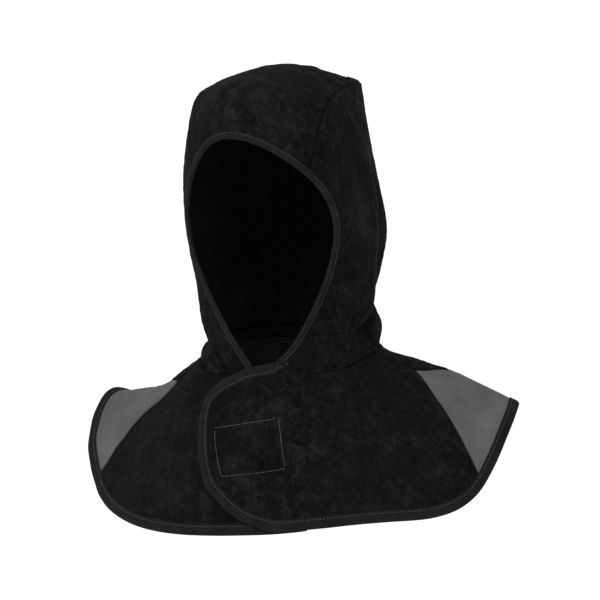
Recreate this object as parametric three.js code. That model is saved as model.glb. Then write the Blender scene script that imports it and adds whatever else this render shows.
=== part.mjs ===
// A leather welding hood: a suede hood with a shoulder cape, worn on the head.
// Millimetres, +Z up. The wearer looks along -Y and the wearer's left is +X.
// The origin is where the inside of the crown rests on the top of the head.
import * as THREE from "three";

// ------------------------------------------------------------ driving sizes
const LEATHER = 1.8;        // split leather wall
const CLOTH = 1.0;          // shoulder gusset cloth
const TAPE = 0.7;           // one layer of the binding tape
const TAPE_WIDTH = 7.0;     // how far the tape reaches in from the edge
const CLEAR = 0.45;         // air between the tape and what it wraps
const SEAM_GAP = 0.22;      // half of the gap between two panels at a seam
const LAP = 5.0;            // how far the flap stands off the panel under it
const CREASE = 0.8;         // how sharply the hood turns at its crown seams
const TOP_STAND = 6.0;      // how much further the flap's top edge stands off at the throat
const PATCH = { width: 50, height: 40, thick: 1.5 };  // hidden hook-and-loop pad

// The hood is a fan of hoops, from the face edge (s = 0) back to the neck seam at the nape (s = 1).
// Each hoop runs from the middle of the crown (t = 0) down the wearer's left to the neck seam (t = 1).
const T = { mid: 0, crown_seam: 0.2, ear: 0.42, jaw: 0.66, throat: 0.84, neck: 1 };
const HOOD = [
  { s: 0.00, mid: [-4, -99.3, -60.5], crown_seam: [56.5, -79.1, -92.2], ear: [69.1, -50.4, -146.3], jaw: [47.5, -53.9, -210.9], throat: [31.7, -60.4, -238.5], neck: [23.6, -66, -247] },
  { s: 0.10, mid: [0, -92, -20],   crown_seam: [58, -66, -60],  ear: [79, -28, -135], jaw: [67, -30, -210], throat: [54, -47, -240], neck: [42, -62, -257] },
  { s: 0.22, mid: [0, -60, -8.8],    crown_seam: [59, -44, -33],  ear: [80, -5, -120],  jaw: [75, -8, -208],  throat: [68, -28, -238], neck: [58, -55, -257] },
  { s: 0.36, mid: [0, -15, 1.8],   crown_seam: [57.5, -5, -18.8], ear: [81.1, 18, -110],  jaw: [77, 12, -206],  throat: [76, -6, -236],  neck: [70, -41, -256] },
  { s: 0.50, mid: [0, 40, -0.7],   crown_seam: [56, 45.9, -11.9], ear: [67.4, 46, -120],  jaw: [75, 33, -204],  throat: [80, 15, -230],  neck: [77, -20, -252] },
  { s: 0.64, mid: [0, 92.3, -24.7], crown_seam: [38.5, 77.2, -36.8],   ear: [70, 71, -135],  jaw: [67, 52, -201],  throat: [78, 36, -226],  neck: [79, 4, -248] },
  { s: 0.80, mid: [0, 106, -100],  crown_seam: [40, 97, -112],  ear: [54, 84, -160],  jaw: [57, 66, -204],  throat: [72, 52, -228],  neck: [78, 28, -245] },
  { s: 1.00, mid: [0, 84, -240],   crown_seam: [32, 80, -240],  ear: [45, 74, -240],  jaw: [57, 66, -241],  throat: [66, 58, -242],  neck: [73, 48, -243] },
];
// Where the wearer's right side isn't the mirrored left: the hood sits a little askew on the neck.
const HOOD_RIGHT = [
  { s: 0.00, crown_seam: [-49.1, -78, -88.4], ear: [-66, -48.4, -147.9], jaw: [-37.6, -51.9, -210.3], throat: [-16.1, -59.1, -238.4], neck: [1, -61, -259] },
  { s: 0.10, jaw: [-64, -30, -210], throat: [-48, -46, -242], neck: [-38, -58, -263] },
  { s: 0.22, crown_seam: [-61, -46, -26.5], jaw: [-70, -8, -208], throat: [-58, -27, -238], neck: [-53, -50, -258] },
  { s: 0.36, crown_seam: [-59.8, -5, -20.2], ear: [-79, 18, -110], jaw: [-74, 12, -206], throat: [-66, -6, -236], neck: [-62, -36, -254] },
  { s: 0.50, crown_seam: [-53, 45, -19.4], ear: [-77, 46, -120], throat: [-72, 15, -230], neck: [-68, -14, -251] },
  { s: 0.64, crown_seam: [-46, 80, -36], neck: [-74, 6, -248] },
];
// Dents (below 0) and folds (above 0) of the hood, along a line from (s0, t0) to (s1, t1).
const HOOD_FOLDS = [
  { name: "neck crease left",  s0: 0.42, t0: 0.70, s1: 0.95, t1: 0.62, height: -4.0, width: 7 },
  { name: "neck roll left",    s0: 0.40, t0: 0.82, s1: 0.90, t1: 0.80, height: 2.0, width: 10 },
  { name: "neck crease right", s0: 0.10, t0: -0.86, s1: 0.60, t1: -0.72, height: -2.5, width: 7 },
  { name: "crown back hump",   s0: 0.58, t0: -0.10, s1: 0.58, t1: 0.13, height: 3.0, width: 14 },
  { name: "crown back dip",    s0: 0.46, t0: 0.02, s1: 0.48, t1: 0.17, height: -3.0, width: 14 },
];

// The cape, a row per direction round the neck from the wearer's right (below 0) to the left.
const CAPE = [
  { angle: -180, hem: [0, 146, -382],     half: [0, 120, -312] },
  { angle: -150, hem: [-92, 136, -368],   half: [-66, 104, -303] },
  { angle: -128, hem: [-158, 106, -325],  half: [-114, 74, -288] },
  { angle: -108, hem: [-192, 62, -288],   half: [-134, 44, -276] },
  { angle: -92,  hem: [-197, 26, -316],   half: [-138, 16, -286] },
  { angle: -72,  hem: [-177, -19, -351],  half: [-130, -12, -302] },
  { angle: -52,  hem: [-142, -65, -377],  half: [-104, -48, -317] },
  { angle: -30,  hem: [-84, -106, -390],  half: [-62, -83, -322] },
  { angle: 0,    hem: [0, -118, -389],    half: [0, -96, -323] },
  { angle: 28,   hem: [69, -111, -381],   half: [58, -88, -320] },
  { angle: 52,   hem: [130, -79, -375],   half: [102, -58, -312] },
  { angle: 72,   hem: [172, -34, -370],   half: [132, -24, -302] },
  { angle: 90,   hem: [190, 14, -337],    half: [142, 8, -284] },
  { angle: 108,  hem: [196, 62, -291],    half: [140, 42, -262] },
  { angle: 128,  hem: [162, 106, -325],   half: [118, 74, -282] },
  { angle: 150,  hem: [94, 136, -368],    half: [66, 104, -303] },
];
const NECK_CENTRE = [4, 2];

// Cut lines on the cape: angle against v, which is 0 at the neck seam and 1 at the hem.
const FLAP_EDGE = [
  { angle: 16.1, v: 0.000 }, { angle: 8.7, v: 0.009 }, { angle: -4.1, v: 0.024 }, { angle: -10.1, v: 0.035 },
  { angle: -18.4, v: 0.069 }, { angle: -22.8, v: 0.099 }, { angle: -25.6, v: 0.150 }, { angle: -25.5, v: 0.222 },
  { angle: -22.7, v: 0.325 }, { angle: -18.2, v: 0.458 }, { angle: -13.9, v: 0.590 }, { angle: -9.4, v: 0.716 },
  { angle: -4.2, v: 0.799 }, { angle: 1.6, v: 0.881 }, { angle: 8, v: 0.940 }, { angle: 15, v: 0.985 }, { angle: 21, v: 1.000 },
];
const FLAP_CORNERS = { top: 0.26, bottom: 0.81 };  // the flap's two round corners, along its edge
const UNDER_EDGE = [{ v: 0, angle: 24 }, { v: 1, angle: 27 }];
const LEFT_FRONT_SEAM = [
  { v: 0, angle: 97 }, { v: 0.30, angle: 96.4 }, { v: 0.40, angle: 92.6 }, { v: 0.49, angle: 89.8 }, { v: 0.61, angle: 87.4 },
  { v: 0.72, angle: 85.9 }, { v: 0.80, angle: 84.9 }, { v: 0.90, angle: 84.1 }, { v: 1, angle: 83.5 },
];
const LEFT_BACK_SEAM = [
  { v: 0, angle: 97 }, { v: 0.30, angle: 97.6 }, { v: 0.45, angle: 106 }, { v: 0.62, angle: 114 }, { v: 0.80, angle: 121 }, { v: 1, angle: 126 },
];
const RIGHT_FRONT_SEAM = [
  { v: 0, angle: -66 }, { v: 0.19, angle: -65.2 }, { v: 0.27, angle: -64.6 }, { v: 0.35, angle: -65.2 }, { v: 0.47, angle: -67.5 },
  { v: 0.58, angle: -68 }, { v: 0.70, angle: -66.8 }, { v: 0.80, angle: -65.5 }, { v: 0.925, angle: -64 }, { v: 1, angle: -63.5 },
];
const RIGHT_BACK_SEAM = [
  { v: 0, angle: -66 }, { v: 0.19, angle: -66.6 }, { v: 0.31, angle: -83 }, { v: 0.45, angle: -96 }, { v: 0.62, angle: -104 }, { v: 0.80, angle: -110 }, { v: 1, angle: -115 },
];
const ROWS = 10;                                   // rows of facets from the neck seam to the tape
const GUSSET_TOP = { left: 3, right: 2 };          // the row where each gusset's point is
const PATCH_CENTRE = { angle: 4.5, v: 0.47 };      // middle of the pad under the flap

const COLOURS = { leather: 0x1c1b1d, cloth: 0x57565a, tape: 0x2f2f31, pad: 0x161616 };

// ------------------------------------------------------------ vectors
const add = (a, b, k = 1) => [a[0] + b[0] * k, a[1] + b[1] * k, a[2] + b[2] * k];
const sub = (a, b) => [a[0] - b[0], a[1] - b[1], a[2] - b[2]];
const dot = (a, b) => a[0] * b[0] + a[1] * b[1] + a[2] * b[2];
const cross = (a, b) => [a[1] * b[2] - a[2] * b[1], a[2] * b[0] - a[0] * b[2], a[0] * b[1] - a[1] * b[0]];
const len = (a) => Math.hypot(a[0], a[1], a[2]);
const unit = (a) => { const l = len(a) || 1; return [a[0] / l, a[1] / l, a[2] / l]; };
const lerp = (a, b, k) => a.map((x, i) => x + (b[i] - x) * k);
const smooth = (x) => { const k = Math.min(1, Math.max(0, x)); return k * k * (3 - 2 * k); };
const steps = (n, f = (x) => x) => Array.from({ length: n + 1 }, (_, i) => f(i / n));

// A natural cubic spline through rows of numbers.
function spline(xs, rows) {
  const n = xs.length, m = rows[0].length, h = xs.slice(1).map((x, i) => x - xs[i]);
  const diag = new Array(n).fill(1), up = new Array(n).fill(0), low = new Array(n).fill(0);
  const rhs = rows.map(() => new Array(m).fill(0));
  for (let i = 1; i < n - 1; i++) {
    low[i] = h[i - 1]; diag[i] = 2 * (h[i - 1] + h[i]); up[i] = h[i];
    for (let k = 0; k < m; k++) rhs[i][k] = 6 * ((rows[i + 1][k] - rows[i][k]) / h[i] - (rows[i][k] - rows[i - 1][k]) / h[i - 1]);
  }
  for (let i = 1; i < n; i++) {
    const w = low[i] / diag[i - 1]; diag[i] -= w * up[i - 1];
    for (let k = 0; k < m; k++) rhs[i][k] -= w * rhs[i - 1][k];
  }
  const M = rows.map(() => new Array(m).fill(0));
  for (let i = n - 1; i >= 0; i--)
    for (let k = 0; k < m; k++) M[i][k] = (rhs[i][k] - (i < n - 1 ? up[i] * M[i + 1][k] : 0)) / diag[i];
  return (x) => {
    let i = 0;
    while (i < n - 2 && x >= xs[i + 1]) i++;
    const a = (xs[i + 1] - x) / h[i], b = (x - xs[i]) / h[i], q = (h[i] * h[i]) / 6;
    return rows[i].map((_, k) => a * rows[i][k] + b * rows[i + 1][k] + ((a * a * a - a) * M[i][k] + (b * b * b - b) * M[i + 1][k]) * q);
  };
}
const unitRows = (n) => Array.from({ length: n }, (_, i) => Array.from({ length: n }, (_, k) => (i === k ? 1 : 0)));
// A curve through a table's rows that never swings past them.
function tableOf(rows, x, y) {
  const X = rows.map((r) => r[x]), Y = rows.map((r) => r[y]), n = X.length;
  const d = X.slice(1).map((v, i) => (Y[i + 1] - Y[i]) / (v - X[i]));
  const m = X.map((_, i) => (i === 0 ? d[0] : i === n - 1 ? d[n - 2] : d[i - 1] * d[i] <= 0 ? 0 : (2 * d[i - 1] * d[i]) / (d[i - 1] + d[i])));
  return (v) => {
    let i = 0;
    while (i < n - 2 && v >= X[i + 1]) i++;
    const h = X[i + 1] - X[i], k = (v - X[i]) / h;
    return Y[i] * (1 + 2 * k) * (1 - k) ** 2 + m[i] * h * k * (1 - k) ** 2 + Y[i + 1] * k * k * (3 - 2 * k) + m[i + 1] * h * k * k * (k - 1);
  };
}

// ------------------------------------------------------------ the hood's surface
const COLUMNS = Object.keys(T);                       // mid ... neck
const KNOTS = [...COLUMNS.slice(1).map((c) => -T[c]).reverse(), ...COLUMNS.map((c) => T[c])];
const SEAM = T.crown_seam;
const HOOPS = HOOD.map((row) => {
  const right = HOOD_RIGHT.find((r) => r.s === row.s) ?? {};
  const rightOf = (c) => right[c] ?? [-row[c][0], row[c][1], row[c][2]];
  return [...COLUMNS.slice(1).map(rightOf).reverse(), ...COLUMNS.map((c) => row[c])];
});
const MID = COLUMNS.length - 1;
const alongS = spline(HOOD.map((r) => r.s), unitRows(HOOD.length));
const alongAll = spline(KNOTS, unitRows(KNOTS.length));
const part = (from, to) => { const e = unitRows(KNOTS.length).slice(from, to); return spline(KNOTS.slice(from, to), e); };
const alongRight = part(0, MID), alongCrown = part(MID - 1, MID + 2), alongLeft = part(MID + 1, KNOTS.length);

function hoodBare(s, t) {
  const A = alongS(s), B0 = alongAll(t), B1 = t < -SEAM ? alongRight(t) : t > SEAM ? alongLeft(t) : alongCrown(t);
  const w = CREASE * smooth((s - 0.02) / 0.25);
  const p = [0, 0, 0];
  for (let i = 0; i < A.length; i++)
    for (let k = 0; k < B0.length; k++) {
      const c = A[i] * (B0[k] * (1 - w) + B1[k] * w);
      if (c) for (let j = 0; j < 3; j++) p[j] += c * HOOPS[i][k][j];
    }
  return p;
}
// The outward normal of any surface f(a, b), from differences of a and b.
function normalOf(f, a, b, da, db, sign) {
  const n = cross(sub(f(a + da, b), f(a - da, b)), sub(f(a, b + db), f(a, b - db)));
  return unit(n.map((x) => x * sign));
}
const hoodNormalBare = (s, t) => {
  const a = Math.min(0.985, Math.max(0.012, s)), b = Math.min(0.99, Math.max(-0.99, t));
  return normalOf(hoodBare, a, b, 0.01, 0.006, -1);
};
const foldLines = HOOD_FOLDS.map((f) => ({ ...f, a: hoodBare(f.s0, f.t0), b: hoodBare(f.s1, f.t1), mid: hoodBare((f.s0 + f.s1) / 2, (f.t0 + f.t1) / 2) }));
function foldHeight(p) {
  let h = 0;
  for (const f of foldLines) {
    // distance from the curve through the fold's two ends and its middle
    let best = Infinity, at = 0;
    for (let i = 0; i <= 12; i++) {
      const k = i / 12, q = f.a.map((x, j) => x * (1 - k) * (1 - 2 * k) + f.mid[j] * 4 * k * (1 - k) + f.b[j] * k * (2 * k - 1));
      const d = len(sub(p, q));
      if (d < best) { best = d; at = k; }
    }
    h += f.height * Math.exp(-((best / f.width) ** 2)) * smooth(Math.min(at, 1 - at) * 5 + 0.35);
  }
  return h;
}
const hood = (s, t) => {
  const p = hoodBare(s, t), edge = smooth(Math.min(s / 0.12, (1 - s) / 0.08, (1 - Math.abs(t)) / 0.08));
  return edge > 0 ? add(p, hoodNormalBare(s, t), foldHeight(p) * edge) : p;
};
const hoodNormal = (s, t) => {
  const a = Math.min(0.985, Math.max(0.012, s)), b = Math.min(0.99, Math.max(-0.99, t));
  return normalOf(hood, a, b, 0.01, 0.006, -1);
};

// ------------------------------------------------------------ the cape's surface
// The neck seam is the hood's own lower edge, closed across the front.
const ring = (() => {
  const n = 60, side = (sign) => [...steps(n, (q) => hoodBare(1, sign * q)), ...steps(n, (q) => hoodBare(1 - q, sign)).slice(1)];
  const pts = [...side(-1).reverse(), ...side(1).slice(1)].map((p) => ({ p, angle: (Math.atan2(p[0] - NECK_CENTRE[0], -(p[1] - NECK_CENTRE[1])) * 180) / Math.PI }));
  pts.sort((a, b) => a.angle - b.angle);
  return [{ ...pts[pts.length - 1], angle: pts[pts.length - 1].angle - 360 }, ...pts, { ...pts[0], angle: pts[0].angle + 360 }];
})();
function ringAt(angle) {
  let lo = 0, hi = ring.length - 1;
  while (hi - lo > 1) { const m = (lo + hi) >> 1; if (ring[m].angle <= angle) lo = m; else hi = m; }
  const a = ring[lo], b = ring[hi];
  return lerp(a.p, b.p, (angle - a.angle) / (b.angle - a.angle || 1));
}
const around = (() => {
  const rows = [-3, -2, -1].map((k) => ({ ...CAPE[CAPE.length + k], angle: CAPE[CAPE.length + k].angle - 360 }));
  const all = [...rows, ...CAPE, ...[0, 1, 2, 3].map((k) => ({ ...CAPE[k], angle: CAPE[k].angle + 360 }))];
  return spline(all.map((r) => r.angle), all.map((r) => [...r.hem, ...r.half]));
})();
const wrap = (a) => (a > 180 ? a - 360 : a < -180 ? a + 360 : a);
function cape(angle, v) {
  const a = wrap(angle), n = ringAt(a), r = around(a), hem = r.slice(0, 3), half = r.slice(3);
  return n.map((x, i) => x * (1 - v) * (1 - 2 * v) + half[i] * 4 * v * (1 - v) + hem[i] * v * (2 * v - 1));
}
const capeNormal = (angle, v) => normalOf(cape, angle, Math.max(0.02, v), 0.6, 0.01, -1);
// The flap lies over the front right: it stands off by LAP across the overlap.
const lap = (angle) => smooth((17 - angle) / 20);
const flap = (angle, v) => add(cape(angle, v), capeNormal(angle, v), lap(angle) * (LAP + TOP_STAND * (1 - smooth((v + 0.04) / 0.25))));
const flapNormal = (angle, v) => normalOf(flap, angle, Math.max(0.02, v), 0.6, 0.01, -1);
const under = (angle, v) => add(cape(angle, v), capeNormal(angle, v), -LAP * (1 - lap(angle)));
const underNormal = (angle, v) => normalOf(under, angle, Math.max(0.02, v), 0.6, 0.01, -1);

// ------------------------------------------------------------ solids
function solid(name, points, faces, colour, roughness) {
  const volume = faces.reduce((sum, [a, b, c]) => sum + dot(points[a], cross(points[b], points[c])), 0);
  if (volume < 0) faces = faces.map(([a, b, c]) => [a, c, b]);   // faces point outwards
  const g = new THREE.BufferGeometry();
  g.setAttribute("position", new THREE.Float32BufferAttribute(points.flat(), 3));
  g.setIndex(faces.flat());
  g.computeVertexNormals();
  const mesh = new THREE.Mesh(g, new THREE.MeshStandardMaterial({ color: colour, roughness, metalness: 0 }));
  mesh.name = name;
  return mesh;
}
// A wall over a grid of places: its outer face through point(u, w), its inner face a thickness inside.
function wall(name, us, ws, place, thick, colour, raise = 0) {
  const nu = us.length, nw = ws.length, outer = [], inner = [];
  for (const u of us) for (const w of ws) {
    const { p, n } = place(u, w);
    outer.push(add(p, n, raise)); inner.push(add(p, n, raise - thick));
  }
  const N = nu * nw, id = (i, j) => i * nw + j, faces = [];
  const quad = (a, b, c, d) => faces.push([a, b, c], [a, c, d]);
  for (let i = 0; i < nu - 1; i++) for (let j = 0; j < nw - 1; j++) {
    const a = id(i, j), b = id(i + 1, j), c = id(i + 1, j + 1), d = id(i, j + 1);
    quad(a, b, c, d); quad(N + a, N + d, N + c, N + b);
  }
  for (let i = 0; i < nu - 1; i++) {
    quad(id(i, 0), N + id(i, 0), N + id(i + 1, 0), id(i + 1, 0));
    quad(id(i, nw - 1), id(i + 1, nw - 1), N + id(i + 1, nw - 1), N + id(i, nw - 1));
  }
  for (let j = 0; j < nw - 1; j++) {
    quad(id(0, j), id(0, j + 1), N + id(0, j + 1), N + id(0, j));
    quad(id(nu - 1, j), N + id(nu - 1, j), N + id(nu - 1, j + 1), id(nu - 1, j + 1));
  }
  return solid(name, [...outer, ...inner], faces, colour, 0.95);
}
// Tape folded over an edge. A station has the edge point, its normal, the way in from the edge,
// and the point and normal where the tape ends on the panel.
function folded(name, stations, wallThick, colour, turned) {
  const c = CLEAR, o = CLEAR + TAPE, pts = [], faces = [], m = 8;
  for (const { e, n, q, nq, b } of stations) {
    pts.push(add(q, nq, o), add(add(e, n, o), b, -o), add(add(e, n, -wallThick - o), b, -o), add(q, nq, -wallThick - o),
      add(q, nq, -wallThick - c), add(add(e, n, -wallThick - c), b, -c), add(add(e, n, c), b, -c), add(q, nq, c));
  }
  const id = (i, j) => i * m + (j % m);
  for (let i = 0; i < stations.length - 1; i++) for (let j = 0; j < m; j++) {
    const a = id(i, j), b = id(i + 1, j), d = id(i, j + 1), e = id(i + 1, j + 1);
    // the tape's facets are split the way the panel's are
    if (turned ? j === 6 || j === 2 : j === 4 || j === 0) faces.push([a, b, d], [b, e, d]);
    else faces.push([a, b, e], [a, e, d]);
  }
  const cap = (i, rev) => [[0, 1, 6], [0, 6, 7], [1, 2, 5], [1, 5, 6], [2, 3, 4], [2, 4, 5]].forEach((t) => faces.push(rev ? [id(i, t[0]), id(i, t[1]), id(i, t[2])] : [id(i, t[0]), id(i, t[2]), id(i, t[1])]));
  cap(0, true); cap(stations.length - 1, false);
  return solid(name, pts, faces, colour, 0.9);
}
// Stations of tape from pairs of an edge place and the place where the tape ends.
// At a corner three stations share one inner place, which is drawn slightly apart.
function stations(pairs) {
  return pairs.map(([e, q], i) => {
    const before = pairs[i - 1], after = pairs[i + 1];
    const shared = (o) => o && len(sub(o[1].p, q.p)) < 1e-4;
    const corner = shared(before) && !shared(after) ? before : shared(after) && !shared(before) ? after : null;
    const p = corner ? add(q.p, sub(e.p, corner[0].p), 0.05) : q.p;
    return { e: e.p, n: e.n, q: p, nq: q.n, b: unit(sub(p, e.p)) };
  });
}

// ------------------------------------------------------------ hood panels
const dS = 0.0009, dT = 0.0008;                       // seam gaps in s and t
const EDGE_S = 0.0015;                                // the leather's edge, just inside the tape's fold
// k = 0 is the face edge, k = 1 the line where the tape ends, k = 2 the neck seam
const hoodS = (k, t) => {
  const tape = EDGE_S + (TAPE_WIDTH * 0.03) / len(sub(hood(EDGE_S + 0.03, t), hood(EDGE_S, t)));
  return k <= 1 ? EDGE_S + (tape - EDGE_S) * k : tape + (1 - dS - tape) * (k - 1);
};
const hoodRows = [0, 1, ...steps(15, (k) => 1 + (k * 15 + 1) / 16)];
const crownT = steps(8, (k) => -SEAM + dT + (2 * SEAM - 2 * dT) * k);
const sideT = [...steps(13, (k) => SEAM + dT + (0.982 - SEAM - dT) * k), 1 - 0.0068];
const onHood = (k, t) => { const s = hoodS(k, t); return { p: hood(s, t), n: hoodNormal(s, t) }; };

const parts = new THREE.Group();
parts.add(wall("hood_crown_panel", hoodRows, crownT, onHood, LEATHER, COLOURS.leather));
parts.add(wall("hood_side_left", hoodRows, sideT, onHood, LEATHER, COLOURS.leather));
parts.add(wall("hood_side_right", hoodRows, sideT.map((t) => -t).reverse(), onHood, LEATHER, COLOURS.leather));

// the tape stops short of the neck seam on both sides
const faceT = [...sideT.slice(0, -1).map((t) => -t).reverse(), ...crownT, ...sideT.slice(0, -1)];
parts.add(folded("face_binding", stations(faceT.map((t) => [onHood(0, t), onHood(0.97, t)])), LEATHER, COLOURS.tape, false));

// ------------------------------------------------------------ cape panels
const leftFront = tableOf(LEFT_FRONT_SEAM, "v", "angle"), leftBack = tableOf(LEFT_BACK_SEAM, "v", "angle");
const rightFront = tableOf(RIGHT_FRONT_SEAM, "v", "angle"), rightBack = tableOf(RIGHT_BACK_SEAM, "v", "angle");
const underEdge = (v) => UNDER_EDGE[0].angle + (UNDER_EDGE[1].angle - UNDER_EDGE[0].angle) * v;
const flapEdge = (() => {
  // even along its length on the leather, not along the table
  const xs = FLAP_EDGE.map((_, i) => i), f = spline(xs, FLAP_EDGE.map((r) => [r.angle, r.v]));
  const fine = steps(200, (k) => f(k * (xs.length - 1))), at = [0];
  for (let i = 1; i < fine.length; i++) at.push(at[i - 1] + len(sub(cape(...fine[i]), cape(...fine[i - 1]))));
  return (w) => {
    const d = w * at[at.length - 1]; let i = 1;
    while (i < at.length - 1 && at[i] < d) i++;
    return lerp(fine[i - 1], fine[i], (d - at[i - 1]) / (at[i] - at[i - 1]));
  };
})();
const NECK_V = 0.0035;                                // the cape starts this far below the neck seam
const gapA = (v, a, sign) => a + sign * (SEAM_GAP / (60 + 130 * v)) * 57.3;  // a seam gap as an angle
const at = (f, normal, [a, v]) => ({ p: f(a, v), n: normal(a, v) });
// row 0 is the neck seam, row ROWS the line where the hem's tape ends, row ROWS + 1 the hem
const tapeV = (angle) => 1 - (0.1 * TAPE_WIDTH) / len(sub(cape(angle, 1), cape(angle, 0.9)));
const rowV = (row, angle) => (row > ROWS ? 1 : NECK_V + ((tapeV(angle) - NECK_V) * row) / ROWS);
const rowsFrom = (first) => Array.from({ length: ROWS + 2 - first }, (_, i) => first + i);

// The flap's panel is blended from its four sides: the round corners of its edge are its corners.
const LEFT_END = 97, HEM_END = LEFT_FRONT_SEAM[LEFT_FRONT_SEAM.length - 1].angle;
const NECK_U = 0.36, HEM_U = 0.22;                    // where the free edge meets the neck seam and the hem
const flapTop = (u) => (u <= NECK_U ? flapEdge(FLAP_CORNERS.top * (1 - u / NECK_U)) : [FLAP_EDGE[0].angle + (gapA(0, LEFT_END, -1) - FLAP_EDGE[0].angle) * ((u - NECK_U) / (1 - NECK_U)), NECK_V]);
const flapHem = (u) => (u <= HEM_U ? flapEdge(FLAP_CORNERS.bottom + (1 - FLAP_CORNERS.bottom) * (u / HEM_U)) : [21 + (gapA(1, HEM_END, -1) - 21) * ((u - HEM_U) / (1 - HEM_U)), 1]);
const flapSide = (w) => flapEdge(FLAP_CORNERS.top + (FLAP_CORNERS.bottom - FLAP_CORNERS.top) * w);
function flapPlace(u, w) {
  const B = [gapA(w, leftFront(w), -1), w], q = lerp(flapSide(w), B, u), C = flapTop(u), D = flapHem(u);
  const corner = lerp(lerp(flapTop(0), flapTop(1), u), lerp(flapHem(0), flapHem(1), u), w);
  return q.map((x, i) => x + C[i] * (1 - w) + D[i] * w - corner[i]);
}
const flapAt = (u, w) => at(flap, flapNormal, flapPlace(u, w));
const gapTo = (place, a, b) => len(sub(place(...a).p, place(...b).p));
// columns and rows of the flap: the first ones keep TAPE_WIDTH from the free edges
const flapCols = [0, 1, ...steps(14, (k) => 1 + (k * 14 + 1) / 15)];
const flapGrid = flapCols.map((c) => rowsFrom(0).map((row) => {
  const tapeU = (w) => (0.1 * TAPE_WIDTH) / gapTo(flapAt, [0, w], [0.1, w]);
  const colU = (w) => (c <= 1 ? c * tapeU(w) : tapeU(w) + (1 - tapeU(w)) * (c - 1));
  const u0 = colU(row / (ROWS + 1)), topW = (0.1 * TAPE_WIDTH) / gapTo(flapAt, [u0, 0], [u0, 0.1]), hemW = 1 - (0.1 * TAPE_WIDTH) / gapTo(flapAt, [u0, 1], [u0, 0.9]);
  const free = row === 0 ? 0 : row > ROWS ? 1 : topW + ((hemW - topW) * (row - 1)) / (ROWS - 1);
  const seam = row === 0 ? 0 : row > ROWS ? 1 : rowV(row, HEM_END), k = smooth((u0 - 0.42) / 0.5);
  const w = free + (seam - free) * k;
  return flapAt(colU(w), w);
}));
parts.add(wall("cape_front_left", flapGrid.map((_, i) => i), rowsFrom(0), (i, j) => flapGrid[i][j], LEATHER, COLOURS.leather));

const between = (f, g, u, v) => f(v) + (g(v) - f(v)) * u;
// A panel between two seams, a(v) and b(v), of surface f: place (u, row).
const panel = (f, normal, a, b, lift = 0) => (u, row) => {
  const v = rowV(row, between(a, b, u, 1)) + (row === lift ? 0.003 : 0);
  return at(f, normal, [between(a, b, u, v), v]);
};
const onUnder = panel(under, underNormal, (v) => gapA(v, rightFront(v), 1), underEdge);
const underTape = 1 - (0.1 * TAPE_WIDTH) / gapTo(onUnder, [1, 5], [0.9, 5]);
const underU = [...steps(11, (k) => k * underTape), 1];
parts.add(wall("cape_front_right", underU, rowsFrom(0), onUnder, LEATHER, COLOURS.leather));

const onBack = panel(cape, capeNormal, (v) => gapA(v, leftBack(v), 1), (v) => gapA(v, rightBack(v), -1) + 360);
const backU = steps(24);
parts.add(wall("cape_back", backU, rowsFrom(0), onBack, LEATHER, COLOURS.leather));

const onGussetLeft = panel(cape, capeNormal, (v) => gapA(v, leftFront(v), 1), (v) => gapA(v, leftBack(v), -1), GUSSET_TOP.left);
const onGussetRight = panel(cape, capeNormal, (v) => gapA(v, rightBack(v), 1), (v) => gapA(v, rightFront(v), -1), GUSSET_TOP.right);
const gussetU = steps(10);
parts.add(wall("shoulder_gusset_left", gussetU, rowsFrom(GUSSET_TOP.left), onGussetLeft, CLOTH, COLOURS.cloth, -0.3));
parts.add(wall("shoulder_gusset_right", gussetU, rowsFrom(GUSSET_TOP.right), onGussetRight, CLOTH, COLOURS.cloth, -0.3));

// ------------------------------------------------------------ the cape's tape
// One length: along the flap's edge, round the whole hem, and up the hidden edge of the panel below.
const last = ROWS + 1, nearNeck = flapCols.findIndex((c) => flapPlace(c <= 1 ? 0 : (c - 1) * 0.97, 0)[0] > 10);
const hemPairs = (place, us) => us.map((u) => [place(u, last), place(u, ROWS)]);
const cols = flapGrid.length;
const pairs = [
  ...flapGrid.slice(1, nearNeck).reverse().map((col) => [col[0], col[1]]),
  [flapGrid[0][0], flapGrid[1][1]],
  ...rowsFrom(1).slice(0, -1).map((row) => [flapGrid[0][row], flapGrid[1][row]]),
  [flapGrid[0][last], flapGrid[1][ROWS]],
  ...flapGrid.slice(1, cols).map((col) => [col[last], col[ROWS]]),
  ...hemPairs(onGussetLeft, gussetU), ...hemPairs(onBack, backU), ...hemPairs(onGussetRight, gussetU),
  ...hemPairs(onUnder, underU.slice(0, -1)),
  [onUnder(1, last), onUnder(underTape, ROWS)],
  ...rowsFrom(0).slice(0, -1).reverse().map((row) => [onUnder(1, row), onUnder(underTape, row)]),
];
parts.add(folded("cape_binding", stations(pairs), LEATHER, COLOURS.tape, true));

// ------------------------------------------------------------ the hidden pad
const padPlace = (x, z) => {
  const f0 = cape(PATCH_CENTRE.angle, PATCH_CENTRE.v);
  const a = PATCH_CENTRE.angle + (x / (len(sub(cape(PATCH_CENTRE.angle + 1, PATCH_CENTRE.v), f0)) || 1));
  const v = PATCH_CENTRE.v - z / (len(sub(cape(PATCH_CENTRE.angle, PATCH_CENTRE.v + 0.01), f0)) / 0.01);
  return { p: under(a, v), n: underNormal(a, v) };
};
parts.add(wall("closure_patch", steps(5, (k) => (k - 0.5) * PATCH.width), steps(4, (k) => (0.5 - k) * PATCH.height), padPlace, PATCH.thick, COLOURS.pad, PATCH.thick + 0.5));

export default parts;
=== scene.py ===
# A leather welding hood: the looks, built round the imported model.
# Tables and surfaces are in millimetres, +Z up, the wearer looking along -Y. Meshes are written in metres.
import math

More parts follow.
